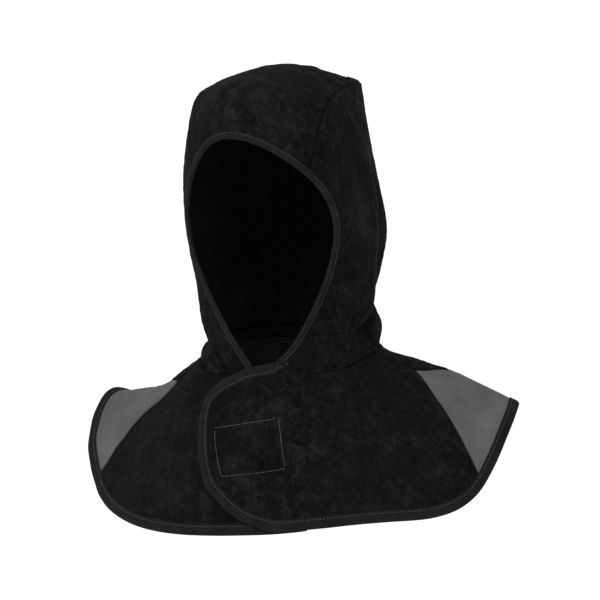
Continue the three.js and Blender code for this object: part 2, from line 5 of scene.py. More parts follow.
import bpy
import numpy as np
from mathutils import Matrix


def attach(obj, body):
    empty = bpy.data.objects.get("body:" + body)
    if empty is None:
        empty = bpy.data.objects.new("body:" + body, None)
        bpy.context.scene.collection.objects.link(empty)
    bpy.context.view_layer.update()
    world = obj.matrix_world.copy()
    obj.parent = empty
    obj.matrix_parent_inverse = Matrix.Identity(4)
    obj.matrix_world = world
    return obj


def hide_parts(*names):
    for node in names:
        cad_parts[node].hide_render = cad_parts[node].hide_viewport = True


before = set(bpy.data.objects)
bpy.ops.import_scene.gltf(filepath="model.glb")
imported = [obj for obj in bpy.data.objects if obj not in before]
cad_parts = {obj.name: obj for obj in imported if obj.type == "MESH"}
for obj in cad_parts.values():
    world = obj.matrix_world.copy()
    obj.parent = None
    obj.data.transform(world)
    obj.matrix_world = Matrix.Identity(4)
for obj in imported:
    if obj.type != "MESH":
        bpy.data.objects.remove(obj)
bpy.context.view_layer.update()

# ==== surfaces begin
LEATHER = 1.8          # split leather wall
CLOTH = 1.0            # shoulder gusset cloth
TAPE_WIDTH = 7.0       # how far the binding tape reaches in from the edge
LAP = 5.0              # how far the flap stands off the panel under it
TOP_STAND = 6.0        # how much further the flap's top edge stands off at the throat
CREASE = 0.8           # how sharply the hood turns at its crown seams
SEAM_GAP = 0.22        # half of the gap between two panels at a seam
EDGE_S = 0.0015
NECK_V = 0.0005
NECK_CENTRE = (4, 2)
PATCH = dict(width=50, height=40, thick=1.5, angle=4.5, v=0.47)

T = [0, 0.2, 0.42, 0.66, 0.84, 1.0]   # middle, crown seam, ear, jaw, throat, neck seam
SEAM = T[1]
HOOD = {
    0.00: [(-4, -99.3, -60.5), (56.5, -79.1, -92.2), (69.1, -50.4, -146.3), (47.5, -53.9, -210.9), (31.7, -60.4, -238.5), (23.6, -66, -247)],
    0.10: [(0, -92, -20), (58, -66, -60), (79, -28, -135), (67, -30, -210), (54, -47, -240), (42, -62, -257)],
    0.22: [(0, -60, -8.8), (59, -44, -33), (80, -5, -120), (75, -8, -208), (68, -28, -238), (58, -55, -257)],
    0.36: [(0, -15, 1.8), (57.5, -5, -18.8), (81.1, 18, -110), (77, 12, -206), (76, -6, -236), (70, -41, -256)],
    0.50: [(0, 40, -0.7), (56, 45.9, -11.9), (67.4, 46, -120), (75, 33, -204), (80, 15, -230), (77, -20, -252)],
    0.64: [(0, 92.3, -24.7), (38.5, 77.2, -36.8), (70, 71, -135), (67, 52, -201), (78, 36, -226), (79, 4, -248)],
    0.80: [(0, 106, -100), (40, 97, -112), (54, 84, -160), (57, 66, -204), (72, 52, -228), (78, 28, -245)],
    1.00: [(0, 84, -240), (32, 80, -240), (45, 74, -240), (57, 66, -241), (66, 58, -242), (73, 48, -243)],
}
HOOD_RIGHT = {   # the wearer's right where it isn't the mirrored left: (row, column) and its point
    (0.00, 1): (-49.1, -78, -88.4), (0.00, 2): (-66, -48.4, -147.9), (0.00, 3): (-37.6, -51.9, -210.3), (0.00, 4): (-16.1, -59.1, -238.4), (0.00, 5): (1, -61, -259),
    (0.10, 3): (-64, -30, -210), (0.10, 4): (-48, -46, -242), (0.10, 5): (-38, -58, -263),
    (0.22, 1): (-61, -46, -26.5), (0.22, 3): (-70, -8, -208), (0.22, 4): (-58, -27, -238), (0.22, 5): (-53, -50, -258),
    (0.36, 1): (-59.8, -5, -20.2), (0.36, 2): (-79, 18, -110), (0.36, 3): (-74, 12, -206), (0.36, 4): (-66, -6, -236), (0.36, 5): (-62, -36, -254),
    (0.50, 1): (-53, 45, -19.4), (0.50, 2): (-77, 46, -120), (0.50, 4): (-72, 15, -230), (0.50, 5): (-68, -14, -251),
    (0.64, 1): (-46, 80, -36), (0.64, 5): (-74, 6, -248),
}
HOOD_FOLDS = [   # s0, t0, s1, t1, height, width
    (0.42, 0.70, 0.95, 0.62, -4.0, 7),
    (0.40, 0.82, 0.90, 0.80, 2.0, 10),
    (0.10, -0.86, 0.60, -0.72, -2.5, 7),
    (0.58, -0.10, 0.58, 0.13, 3.0, 14),
    (0.46, 0.02, 0.48, 0.17, -3.0, 14),
]
CAPE = [   # angle round the neck, hem, half way
    (-180, (0, 146, -382), (0, 120, -312)),
    (-150, (-92, 136, -368), (-66, 104, -303)),
    (-128, (-158, 106, -331), (-114, 74, -295)),
    (-108, (-192, 62, -293.5), (-134, 44, -285)),
    (-92, (-197, 26, -317), (-138, 16, -290)),
    (-72, (-177, -19, -351), (-130, -12, -302)),
    (-52, (-142, -65, -377), (-104, -48, -317)),
    (-30, (-84, -106, -390), (-62, -83, -322)),
    (0, (0, -118, -389), (0, -96, -323)),
    (28, (69, -111, -381), (58, -88, -320)),
    (52, (130, -79, -375), (102, -58, -312)),
    (72, (172, -34, -370), (132, -24, -302)),
    (90, (190, 14, -337), (142, 8, -284)),
    (108, (196, 62, -291), (140, 42, -262)),
    (128, (162, 106, -325), (118, 74, -282)),
    (150, (94, 136, -368), (66, 104, -303)),
]
FLAP_EDGE = [   # angle, v
    (16.1, 0.000), (8.7, 0.009), (-4.1, 0.024), (-10.1, 0.035), (-18.4, 0.069), (-22.8, 0.099), (-25.6, 0.150), (-25.5, 0.222),
    (-22.7, 0.325), (-18.2, 0.458), (-13.9, 0.590), (-9.4, 0.716), (-4.2, 0.799), (1.6, 0.881), (8, 0.940), (15, 0.985), (21, 1.000),
]
FLAP_TOP, FLAP_BOTTOM = 0.26, 0.81      # the flap's two round corners, along its edge
UNDER_EDGE = (24, 27)
LEFT_FRONT = [(0, 97), (0.15, 97.05), (0.27, 97.05), (0.32, 95.8), (0.40, 92.6), (0.49, 89.8), (0.61, 87.4), (0.72, 85.9), (0.80, 84.9), (0.90, 84.1), (1, 83.5)]
LEFT_BACK = [(0, 97), (0.15, 96.95), (0.27, 96.95), (0.32, 98.6), (0.45, 106), (0.62, 114), (0.80, 121), (1, 126)]
RIGHT_FRONT = [(0, -66), (0.10, -66), (0.185, -66), (0.23, -65.2), (0.27, -64.6), (0.35, -65.2), (0.47, -67.5), (0.58, -68), (0.70, -66.8), (0.80, -65.5), (0.925, -64), (1, -63.5)]
RIGHT_BACK = [(0, -66), (0.10, -65.9), (0.185, -65.9), (0.21, -70), (0.25, -79), (0.31, -90), (0.38, -98.5), (0.45, -104), (0.62, -109), (0.80, -112), (1, -115)]
NECK_U, HEM_U = 0.36, 0.22

# Creases and ridges of the hood. "at" is its line of (s, t); left and right are its widths on
# either side of that line, seen from outside; height is how far it stands out (or in, below 0).
HOOD_STROKES = [
    # the crown's rear folds over behind a ridge
    dict(at=[(0.43, 0.05), (0.41, 0.09), (0.395, 0.125), (0.386, 0.163), (0.373, 0.194)], height=1.7, left=3.0, right=6.0, ends=(0.35, 0.02)),
    dict(at=[(0.50, 0.05), (0.48, 0.10), (0.455, 0.15), (0.43, 0.197)], height=-3.2, left=5.0, right=5.0, ends=(0.3, 0.02)),
    # a slack fold at the front of the side panel, under the crown seam
    dict(at=[(0.41, 0.225), (0.413, 0.25), (0.42, 0.274), (0.45, 0.302), (0.47, 0.35)], height=1.5, left=3.5, right=3.5, ends=(0.2, 0.5)),
    dict(at=[(0.36, 0.22), (0.36, 0.27), (0.38, 0.33)], height=-1.0, left=6.0, right=5.0, ends=(0.3, 0.5)),
    # left of the crown's middle
    dict(at=[(0.10, -0.026), (0.081, -0.029), (0.044, -0.03), (0.025, -0.041)], height=0.6, left=2.2, right=2.2, ends=(0.3, 0.3)),
    # where the hood breaks over the shoulder on the wearer's left
    dict(at=[(0.42, 0.655), (0.34, 0.692), (0.251, 0.72), (0.195, 0.76), (0.15, 0.79)], height=2.2, left=3.0, right=4.5, ends=(0.2, 0.5)),
    dict(at=[(0.42, 0.70), (0.35, 0.735), (0.26, 0.765), (0.20, 0.80)], height=-2.6, left=4.5, right=4.5, ends=(0.2, 0.5)),
    dict(at=[(0.347, 0.705), (0.42, 0.76), (0.486, 0.816), (0.60, 0.90), (0.729, 0.945)], height=2.2, left=4.0, right=4.5, ends=(0.3, 0.3)),
    dict(at=[(0.10, 0.60), (0.16, 0.66), (0.20, 0.74)], height=-0.9, left=5.0, right=6.0, ends=(0.4, 0.4)),
    # the wearer's right side gathers at the neck
    dict(at=[(0.16, -0.86), (0.135, -0.915), (0.105, -0.96), (0.083, -0.995)], height=1.6, left=2.0, right=2.4, ends=(0.3, 0.02)),
    dict(at=[(0.088, -0.80), (0.08, -0.841), (0.071, -0.895), (0.063, -0.958), (0.059, -0.99)], height=-1.8, left=2.2, right=2.2, ends=(0.3, 0.1)),
    dict(at=[(0.15, -0.93), (0.28, -0.93), (0.44, -0.93), (0.60, -0.95)], height=3.0, left=5.5, right=6.5, ends=(0.3, 0.3)),
    dict(at=[(0.12, -0.80), (0.26, -0.85), (0.44, -0.84), (0.60, -0.86)], height=-1.8, left=5.0, right=5.0, ends=(0.3, 0.3)),
]
CAPE_STROKES = [
    # the front panel's edge shows through the flap
    dict(at=[(15.9, 0.10), (17.5, 0.40), (19.5, 0.70), (21.1, 0.93)], height=0.5, left=2.0, right=5.0, ends=(0.15, 0.15), layer="outer"),
    dict(at=[(26, 0.16), (28, 0.45), (30, 0.80)], height=-0.6, left=5.0, right=7.0, ends=(0.3, 0.3), layer="outer"),
    # slack between the shoulders
    dict(at=[(-42.9, 0.61), (-28.6, 0.566), (-16.7, 0.536)], height=0.9, left=6.0, right=8.0, ends=(0.4, 0.3)),
    dict(at=[(25.8, 0.45), (45.3, 0.50), (63.2, 0.55), (78, 0.62)], height=1.0, left=7.0, right=9.0, ends=(0.4, 0.4), layer="outer"),
    dict(at=[(-10.5, 0.70), (-8.7, 0.80), (-6.0, 0.95), (-5, 1.02)], height=0.9, left=6.0, right=6.0, ends=(0.4, 0.02), layer="inner"),
    dict(at=[(-16, 0.72), (-15, 0.86), (-14, 1.02)], height=-0.8, left=7.0, right=7.0, ends=(0.4, 0.02), layer="inner"),
    # behind the wearer's right shoulder the back drops away
    dict(at=[(-86, 0.12), (-96, 0.28), (-104, 0.45), (-112, 0.62)], height=-5.0, left=16.0, right=9.0, ends=(0.35, 0.4)),
    # the shoulders fall away from the neck seam
    dict(at=[(-55, 0.10), (-72, 0.09), (-92, 0.09), (-110, 0.10)], height=-3.5, left=9.0, right=9.0, ends=(0.3, 0.3)),
    dict(at=[(62, 0.20), (64, 0.45), (66, 0.75)], height=-0.9, left=8.0, right=8.0, ends=(0.4, 0.4), layer="outer"),
    dict(at=[(150, 0.12), (152, 0.45), (150, 0.85)], height=1.6, left=14.0, right=14.0, ends=(0.3, 0.3)),
    dict(at=[(-160, 0.12), (-158, 0.45), (-150, 0.85)], height=1.8, left=14.0, right=14.0, ends=(0.3, 0.3)),
    dict(at=[(178, 0.10), (179, 0.40), (176, 0.70)], height=-1.4, left=12.0, right=12.0, ends=(0.3, 0.3)),
]


def spline(xs, ys):
    """A natural cubic spline through rows of numbers, as a function of an array."""
    xs = np.asarray(xs, float)
    ys = np.asarray(ys, float)
    n = len(xs)
    h = np.diff(xs)
    A = np.zeros((n, n))
    A[0, 0] = A[-1, -1] = 1
    B = np.zeros(ys.shape)
    for i in range(1, n - 1):
        A[i, i - 1], A[i, i], A[i, i + 1] = h[i - 1], 2 * (h[i - 1] + h[i]), h[i]
        B[i] = 6 * ((ys[i + 1] - ys[i]) / h[i] - (ys[i] - ys[i - 1]) / h[i - 1])
    M = np.linalg.solve(A, B)

    def f(x):
        x = np.asarray(x, float)
        i = np.clip(np.searchsorted(xs, x, side="right") - 1, 0, n - 2)
        a, b, q = (xs[i + 1] - x) / h[i], (x - xs[i]) / h[i], h[i] ** 2 / 6
        if ys.ndim > 1:
            a, b, q = a[..., None], b[..., None], q[..., None]
        return a * ys[i] + b * ys[i + 1] + ((a**3 - a) * M[i] + (b**3 - b) * M[i + 1]) * q

    return f


def table(rows):
    """A curve through (x, y) rows that never swings past them."""
    X, Y = np.array([r[0] for r in rows], float), np.array([r[1] for r in rows], float)
    d = np.diff(Y) / np.diff(X)
    m = np.zeros(len(X))
    m[0], m[-1] = d[0], d[-1]
    for i in range(1, len(X) - 1):
        m[i] = 0 if d[i - 1] * d[i] <= 0 else 2 * d[i - 1] * d[i] / (d[i - 1] + d[i])

    def f(v):
        v = np.asarray(v, float)
        i = np.clip(np.searchsorted(X, v, side="right") - 1, 0, len(X) - 2)
        h = X[i + 1] - X[i]
        k = (v - X[i]) / h
        return Y[i] * (1 + 2 * k) * (1 - k) ** 2 + m[i] * h * k * (1 - k) ** 2 + Y[i + 1] * k * k * (3 - 2 * k) + m[i + 1] * h * k * k * (k - 1)

    return f


def smooth(x):
    k = np.clip(x, 0, 1)
    return k * k * (3 - 2 * k)


def unit(a):
    return a / (np.linalg.norm(a, axis=-1, keepdims=True) + 1e-12)


def bell(x, width):
    return np.exp(-((x / width) ** 2))


def waves(p, length, seed, n=22):
    """A smooth random field of about that wavelength in mm and about -1 to 1: a sum of plane waves."""
    r = np.random.RandomState(seed)
    k = unit(r.normal(size=(n, 3))) * (2 * np.pi / (length * r.uniform(0.75, 1.4, n)))[:, None]
    return np.cos(p @ k.T + r.uniform(0, 2 * np.pi, n)).sum(-1) * (0.85 / math.sqrt(n))


# ---- the hood
S = sorted(HOOD)
_left = np.array([HOOD[s] for s in S], float)
_right = _left.copy()
_right[..., 0] *= -1
for (_s, _k), _p in HOOD_RIGHT.items():
    _right[S.index(_s), _k] = _p
HOOPS = np.concatenate([_right[:, :0:-1], _left], axis=1)
KNOTS = np.array([-t for t in T[:0:-1]] + T)
_m = len(T) - 1
_e = np.eye(len(KNOTS))
_along_s = spline(S, np.eye(len(S)))
_all_t = spline(KNOTS, _e)
_right_t, _crown_t, _left_t = spline(KNOTS[:_m], _e[:_m]), spline(KNOTS[_m - 1 : _m + 2], _e[_m - 1 : _m + 2]), spline(KNOTS[_m + 1 :], _e[_m + 1 :])


def hood_bare(s, t):
    s, t = np.broadcast_arrays(np.asarray(s, float), np.asarray(t, float))
    creased = np.where((t < -SEAM)[..., None], _right_t(t), np.where((t > SEAM)[..., None], _left_t(t), _crown_t(t)))
    w = (CREASE * smooth((s - 0.02) / 0.25))[..., None]
    return np.einsum("...i,...j,ijk->...k", _along_s(s), _all_t(t) * (1 - w) + creased * w, HOOPS)


def normal_of(f, a, b, da, db, sign):
    return unit(np.cross(f(a + da, b) - f(a - da, b), f(a, b + db) - f(a, b - db)) * sign)


def hood_normal_bare(s, t):
    return normal_of(hood_bare, np.clip(s, 0.012, 0.985), np.clip(t, -0.99, 0.99), 0.01, 0.006, -1)


_folds = []
for s0, t0, s1, t1, height, width in HOOD_FOLDS:
    a, b, m = hood_bare(s0, t0), hood_bare(s1, t1), hood_bare((s0 + s1) / 2, (t0 + t1) / 2)
    k = np.linspace(0, 1, 13)[:, None]
    _folds.append((a * (1 - k) * (1 - 2 * k) + m * 4 * k * (1 - k) + b * k * (2 * k - 1), height, width))


def hood_folds(p):
    h = np.zeros(p.shape[:-1])
    for line, height, width in _folds:
        d = np.linalg.norm(p[..., None, :] - line, axis=-1)
        i = d.argmin(-1)
        h += height * bell(d.min(-1), width) * smooth(np.minimum(i, 12 - i) / 12 * 5 + 0.35)
    return h


def stroke_lines(strokes, place, normal):
    """Each stroke's line on the bare surface: even points, tangents and normals."""
    made = []
    for st in strokes:
        at = np.array(st["at"], float)
        x = np.linspace(0, 1, len(at))
        k = np.linspace(0, 1, 8 * len(at) + 1)
        q = spline(x, at)(k) if len(at) > 2 else at[0] + (at[1] - at[0]) * k[:, None]
        p = place(q[:, 0], q[:, 1])
        made.append((st, p, unit(np.gradient(p, axis=0)), normal(q[:, 0], q[:, 1])))
    return made


def stroke_height(p, lines, layer=None):
    """How far all the strokes lift each point."""
    flat = p.reshape(-1, 3)
    h = np.zeros(len(flat))
    for st, line, tangent, normal in lines:
        if layer and st.get("layer", layer) != layer:
            continue
        reach = 2.6 * max(st["left"], st["right"])
        near = np.where(((flat > line.min(0) - reach) & (flat < line.max(0) + reach)).all(1))[0]
        if not len(near):
            continue
        q = flat[near]
        d2 = np.full(len(q), 1e12)
        at, side = np.zeros(len(q)), np.zeros(len(q))
        m = len(line) - 1
        for i in range(m):
            a, ab = line[i], line[i + 1] - line[i]
            k = np.clip((q - a) @ ab / (ab @ ab + 1e-12), 0, 1)
            r = q - a - k[:, None] * ab
            dd = (r * r).sum(1)
            better = dd < d2
            d2 = np.where(better, dd, d2)
            at = np.where(better, (i + k) / m, at)
            side = np.where(better, r @ np.cross(normal[i], tangent[i]), side)
        d = np.sqrt(d2)
        width = np.where(side > 0, st["left"], st["right"])
        ends = st.get("ends", (0.25, 0.25))
        taper = smooth(at / max(ends[0], 1e-6)) * smooth((1 - at) / max(ends[1], 1e-6))
        x = d / width
        profile = np.exp(-(x**2)) if not st.get("sharp") else 1.35 * np.exp(-(x**2)) / (1 + 3.5 * x * x) ** 0.5 * 0.74
        h[near] += st["height"] * profile * taper
    return h.reshape(p.shape[:-1])


def seam_curl(x, depth=1.7, width=1.05, puff=0.15):
    """A panel's edge rolls in at a sewn seam, x mm away, and stands a little proud beside it."""
    return -depth * bell(x, width) + puff * bell(x - 4.2, 2.4)


_hood_lines = stroke_lines(HOOD_STROKES, hood_bare, hood_normal_bare)


def hood_out(s, t, curl=True):
    """The hood's outer face."""
    s, t = np.broadcast_arrays(np.asarray(s, float), np.asarray(t, float))
    p, n = hood_bare(s, t), hood_normal_bare(s, t)
    edge = smooth(np.minimum.reduce([s / 0.12, (1 - s) / 0.08, (1 - np.abs(t)) / 0.08]))
    h = hood_folds(p) * edge + stroke_height(p, _hood_lines)
    loose = smooth((s + 0.02) / 0.12) * (0.35 + 0.65 * smooth((np.abs(t) - 0.15) / 0.3))
    h = h + loose * (0.9 * waves(p, 62, 11) + 0.45 * waves(p, 27, 12))
    if curl:
        lt = np.linalg.norm(hood_bare(s, t + 0.004) - hood_bare(s, t - 0.004), axis=-1) / 0.008
        ls = np.linalg.norm(hood_bare(s + 0.004, t) - hood_bare(s - 0.004, t), axis=-1) / 0.008
        h = h + seam_curl(np.abs(np.abs(t) - SEAM) * lt)
        x = np.minimum((1 - np.abs(t)) * lt, (1 - s) * ls)
        h = h + seam_curl(np.maximum(x, 0), 1.2, 1.8, 0.2) - 0.9 * smooth(-x / 2.5)
    return p + n * h[..., None]


# ---- the cape
def _neck_ring(n=60):
    q = np.linspace(0, 1, n + 1)
    left = np.concatenate([hood_bare(np.ones(n + 1), q), hood_bare(1 - q[1:], np.ones(n))])
    right = np.concatenate([hood_bare(np.ones(n + 1), -q), hood_bare(1 - q[1:], -np.ones(n))])
    pts = np.concatenate([right[::-1], left[1:]])
    ang = np.degrees(np.arctan2(pts[:, 0] - NECK_CENTRE[0], -(pts[:, 1] - NECK_CENTRE[1])))
    o = np.argsort(ang)
    ang, pts = ang[o], pts[o]
    return np.concatenate([[ang[-1] - 360], ang, [ang[0] + 360]]), np.concatenate([pts[-1:], pts, pts[:1]])


RING_A, RING_P = _neck_ring()
_ra = np.arange(-200, 201) * 1.0
_raw = np.stack([np.interp((_ra + 180) % 360 - 180, RING_A, RING_P[:, k]) for k in range(3)], -1)
_ker = bell(np.arange(-18, 19), 8.0)
_soft = np.stack([np.convolve(np.pad(_raw[:, k], 18, mode="edge"), _ker / _ker.sum(), "valid") for k in range(3)], -1)
_a = np.array([r[0] for r in CAPE], float)
_v = np.array([r[1] + r[2] for r in CAPE], float)
_around = spline(np.concatenate([_a[-3:] - 360, _a, _a[:4] + 360]), np.concatenate([_v[-3:], _v, _v[:4]]))


def cape_base(angle, v, free=False):
    angle, v = np.broadcast_arrays(np.asarray(angle, float), np.asarray(v, float))
    a = (angle + 180) % 360 - 180
    n = np.stack([np.interp(a, RING_A, RING_P[:, k]) for k in range(3)], -1)
    # the seam's corners die out just below it
    m = np.stack([np.interp(a, _ra, _soft[:, k]) for k in range(3)], -1)
    k = smooth(np.abs(v) / 0.07) * smooth((40 - np.abs(a)) / 10)
    if free:   # nothing is sewn to the flap's top edge
        k = np.maximum(k, smooth((17.5 - a) / 5) * smooth((a + 40) / 10))
    k = k[..., None]
    n = n * (1 - k) + m * k
    r = _around(a)
    w = v[..., None]
    return n * (1 - w) * (1 - 2 * w) + r[..., 3:] * 4 * w * (1 - w) + r[..., :3] * w * (2 * w - 1)


def cape_normal(angle, v, free=False):
    return normal_of(lambda x, y: cape_base(x, y, free), angle, np.maximum(0.02, v), 0.6, 0.01, -1)


def lap(angle):
    return smooth((17 - angle) / 20)


_cape_lines = stroke_lines(CAPE_STROKES, cape_base, cape_normal)
left_front, left_back, right_front, right_back = table(LEFT_FRONT), table(LEFT_BACK), table(RIGHT_FRONT), table(RIGHT_BACK)


def under_edge(v):
    return UNDER_EDGE[0] + (UNDER_EDGE[1] - UNDER_EDGE[0]) * v


def cape_out(angle, v, layer="outer", curl=True):
    """The cape's outer face: layer outer is the flap and all that it joins, inner the front right under it."""
    angle, v = np.broadcast_arrays(np.asarray(angle, float), np.asarray(v, float))
    p, n = cape_base(angle, v, layer == "outer"), cape_normal(angle, v, layer == "outer")
    if layer == "outer":
        h = lap(angle) * (LAP + TOP_STAND * (1 - smooth((v + 0.04) / 0.25)))
    else:
        h = -LAP * (1 - lap(angle))
    loose = smooth((v - 0.04) / 0.5)
    h = h + loose * (1.1 * waves(p, 74, 21) + 0.5 * waves(p, 31, 22)) + stroke_height(p, _cape_lines, layer)
    if curl:
        la = np.linalg.norm(cape_base(angle + 0.5, v) - cape_base(angle - 0.5, v), axis=-1)
        lv = np.linalg.norm(cape_base(angle, v + 0.005) - cape_base(angle, v - 0.005), axis=-1) / 0.01
        if layer == "inner" or angle.max() > 60:
            a = (angle + 180) % 360 - 180
            for seam in (left_front, left_back, right_front, right_back):
                open_v = 0.29 if seam in (left_front, left_back) else 0.19
                x = np.abs(a - seam(np.clip(v, 0, 1))) * la
                h = h + seam_curl(x, 0.9, 1.1, 0.25) * (1 if seam in (left_front, right_front) else smooth((v - open_v + 0.02) / 0.02))
        # the neck seam is a raised ridge on the cape's side
        x = v * lv
        on = smooth((np.abs(angle) - 12) / 6) if layer == "outer" else 1.0
        h = h + on * (1.3 * bell(x - 1.6, 1.3) - 0.7 * bell(x, 0.6))
    return p + n * h[..., None]


def cape_frame(angle, v, layer, curl=True):
    f = lambda a, b: cape_out(a, b, layer, curl)
    return f(angle, v), normal_of(f, angle, v, 0.35, 0.005, -1)


def hood_frame(s, t, curl=True):
    f = lambda a, b: hood_out(a, b, curl)
    return f(s, t), normal_of(f, np.clip(s, 0.004, 0.996), np.clip(t, -0.997, 0.997), 0.0035, 0.0025, -1)


def _flap_edge():
    f = spline(np.arange(len(FLAP_EDGE)), FLAP_EDGE)
    fine = f(np.linspace(0, len(FLAP_EDGE) - 1, 1201))
    d = np.concatenate([[0], np.cumsum(np.linalg.norm(np.diff(cape_base(fine[:, 0], fine[:, 1]), axis=0), axis=-1))])
    d /= d[-1]
    return lambda w: np.stack([np.interp(w, d, fine[:, 0]), np.interp(w, d, fine[:, 1])], -1)


flap_edge = _flap_edge()


def gap_angle(v, a, sign):
    return a + sign * (SEAM_GAP / (60 + 130 * v)) * 57.3


def flap_place(u, w):
    """(angle, v) on the flap's panel, blended from its four sides. Its round corners are its corners."""
    u, w = np.broadcast_arrays(np.asarray(u, float), np.asarray(w, float))

    def top(u):
        e = flap_edge(FLAP_TOP * (1 - np.clip(u / NECK_U, 0, 1)))
        k = np.clip((u - NECK_U) / (1 - NECK_U), 0, 1)
        n = np.stack([FLAP_EDGE[0][0] + (gap_angle(0, 97, -1) - FLAP_EDGE[0][0]) * k, np.full(u.shape, NECK_V)], -1)
        return np.where((u <= NECK_U)[..., None], e, n)

    def hem(u):
        e = flap_edge(FLAP_BOTTOM + (1 - FLAP_BOTTOM) * np.clip(u / HEM_U, 0, 1))
        k = np.clip((u - HEM_U) / (1 - HEM_U), 0, 1)
        end = gap_angle(1, LEFT_FRONT[-1][1], -1)
        n = np.stack([21 + (end - 21) * k, np.ones(u.shape)], -1)
        return np.where((u <= HEM_U)[..., None], e, n)

    side = lambda w: flap_edge(FLAP_TOP + (FLAP_BOTTOM - FLAP_TOP) * w)
    seam = np.stack([gap_angle(w, left_front(w), -1), w], -1)
    U, W = u[..., None], w[..., None]
    q = side(w) * (1 - U) + seam * U
    zero, one = np.zeros(u.shape), np.ones(u.shape)
    corner = (top(zero) * (1 - U) + top(one) * U) * (1 - W) + (hem(zero) * (1 - U) + hem(one) * U) * W
    return q + top(u) * (1 - W) + hem(u) * W - corner
# ==== surfaces end


# ---- meshes
def mesh_object(name, verts, faces, uv=None, attributes=None, sharp=None):
    """verts in mm; faces are quads or triangles in one array each."""
    me = bpy.data.meshes.new(name)
    loops = np.concatenate([f.ravel() for f in faces])
    counts = np.concatenate([np.full(len(f), f.shape[1]) for f in faces])
    me.vertices.add(len(verts))
    me.vertices.foreach_set("co", (np.asarray(verts, np.float64) * 0.001).astype(np.float32).ravel())
    me.loops.add(len(loops))
    me.loops.foreach_set("vertex_index", loops.astype(np.int32))
    me.polygons.add(len(counts))
    me.polygons.foreach_set("loop_start", np.concatenate([[0], np.cumsum(counts)[:-1]]).astype(np.int32))
    me.update(calc_edges=True)
    if uv is not None:
        layer = me.uv_layers.new(name="Flat")
        layer.data.foreach_set("uv", uv[loops].astype(np.float32).ravel())
    for key, value in (attributes or {}).items():
        me.attributes.new(key, "FLOAT", "POINT").data.foreach_set("value", np.asarray(value, np.float32))
    me.polygons.foreach_set("use_smooth", np.ones(len(counts), bool))
    me.validate()
    me.update()
    ob = bpy.data.objects.new(name, me)
    bpy.context.scene.collection.objects.link(ob)
    return ob


class Builder:
    """Collects closed bodies, joins them into one mesh."""

    def __init__(self):
        self.v, self.f4, self.f3, self.uv, self.wear, self.n = [], [], [], [], [], 0

    def add(self, verts, quads=None, tris=None, uv=None, wear=None):
        verts = np.asarray(verts, float).reshape(-1, 3)
        k = len(verts)
        # faces point outwards
        total = 0.0
        for f in (quads, tris):
            if f is not None and len(f):
                a, b, c = verts[f[:, 0]], verts[f[:, 1]], verts[f[:, 2]]
                total += np.einsum("ij,ij->i", a, np.cross(b, c)).sum()
                if f.shape[1] == 4:
                    d = verts[f[:, 3]]
                    total += np.einsum("ij,ij->i", a, np.cross(c, d)).sum()
        for f, out in ((quads, self.f4), (tris, self.f3)):
            if f is not None and len(f):
                out.append((f if total > 0 else f[:, ::-1]) + self.n)
        self.v.append(verts)
        self.uv.append(np.zeros((k, 2)) if uv is None else np.asarray(uv, float).reshape(-1, 2))
        self.wear.append(np.zeros(k) if wear is None else np.asarray(wear, float).ravel())
        self.n += k

    def make(self, name):
        faces = [np.concatenate(f) for f in (self.f4, self.f3) if f]
        return mesh_object(name, np.concatenate(self.v), faces, np.concatenate(self.uv), {"wear": np.concatenate(self.wear)})


def grid_quads(nu, nw, wrap=False):
    i, j = np.meshgrid(np.arange(nu - (0 if wrap else 1)), np.arange(nw - 1), indexing="ij")
    i2 = (i + 1) % nu
    return np.stack([i * nw + j, i2 * nw + j, i2 * nw + j + 1, i * nw + j + 1], -1).reshape(-1, 4)


def flat_of(P):
    """Flat coordinates in mm over a grid, from its mean lengths both ways."""
    u = np.concatenate([[0], np.cumsum(np.linalg.norm(np.diff(P, axis=0), axis=-1).mean(1))])
    w = np.concatenate([[0], np.cumsum(np.linalg.norm(np.diff(P, axis=1), axis=-1).mean(0))])
    return np.stack(np.meshgrid(u, w, indexing="ij"), -1)


def add_wall(b, P, N, thick, wear=None, round_edge=0.2):
    """A closed wall: outer face P, inner face a thickness inside, with rounded edges."""
    nu, nw = P.shape[:2]
    inner = P - N * thick
    uv = flat_of(P)
    wear = np.zeros((nu, nw)) if wear is None else wear
    # the boundary, once round
    ring = [(i, 0) for i in range(nu)] + [(nu - 1, j) for j in range(1, nw)] + [(i, nw - 1) for i in range(nu - 2, -1, -1)] + [(0, j) for j in range(nw - 2, 0, -1)]
    ri, rj = np.array(ring).T
    ii, jj = np.clip(ri, 1, nu - 2), np.clip(rj, 1, nw - 2)
    out = unit(P[ri, rj] - P[ii, jj])
    e, n = P[ri, rj], N[ri, rj]
    e1 = e + out * round_edge - n * thick * 0.22
    e2 = e + out * round_edge - n * thick * 0.78
    m = len(ring)
    base = nu * nw
    q = grid_quads(nu, nw)
    outer_ids, inner_ids = ri * nw + rj, ri * nw + rj + base
    a, c = 2 * base + np.arange(m), 2 * base + m + np.arange(m)
    nxt = (np.arange(m) + 1) % m
    rim = np.concatenate([
        np.stack([outer_ids, a, a[nxt], outer_ids[nxt]], -1),
        np.stack([a, c, c[nxt], a[nxt]], -1),
        np.stack([c, inner_ids, inner_ids[nxt], c[nxt]], -1),
    ])
    # the rim has to turn the same way as the faces
    quads = np.concatenate([q, (q + base)[:, ::-1], rim[:, ::-1] if rim_flipped(P, ri, rj) else rim])
    uvs = np.concatenate([uv.reshape(-1, 2), uv.reshape(-1, 2), uv[ri, rj], uv[ri, rj]])
    w = np.concatenate([wear.ravel(), wear.ravel() * 0, wear[ri, rj], wear[ri, rj]])
    b.add(np.concatenate([P.reshape(-1, 3), inner.reshape(-1, 3), e1, e2]), quads, uv=uvs, wear=w)


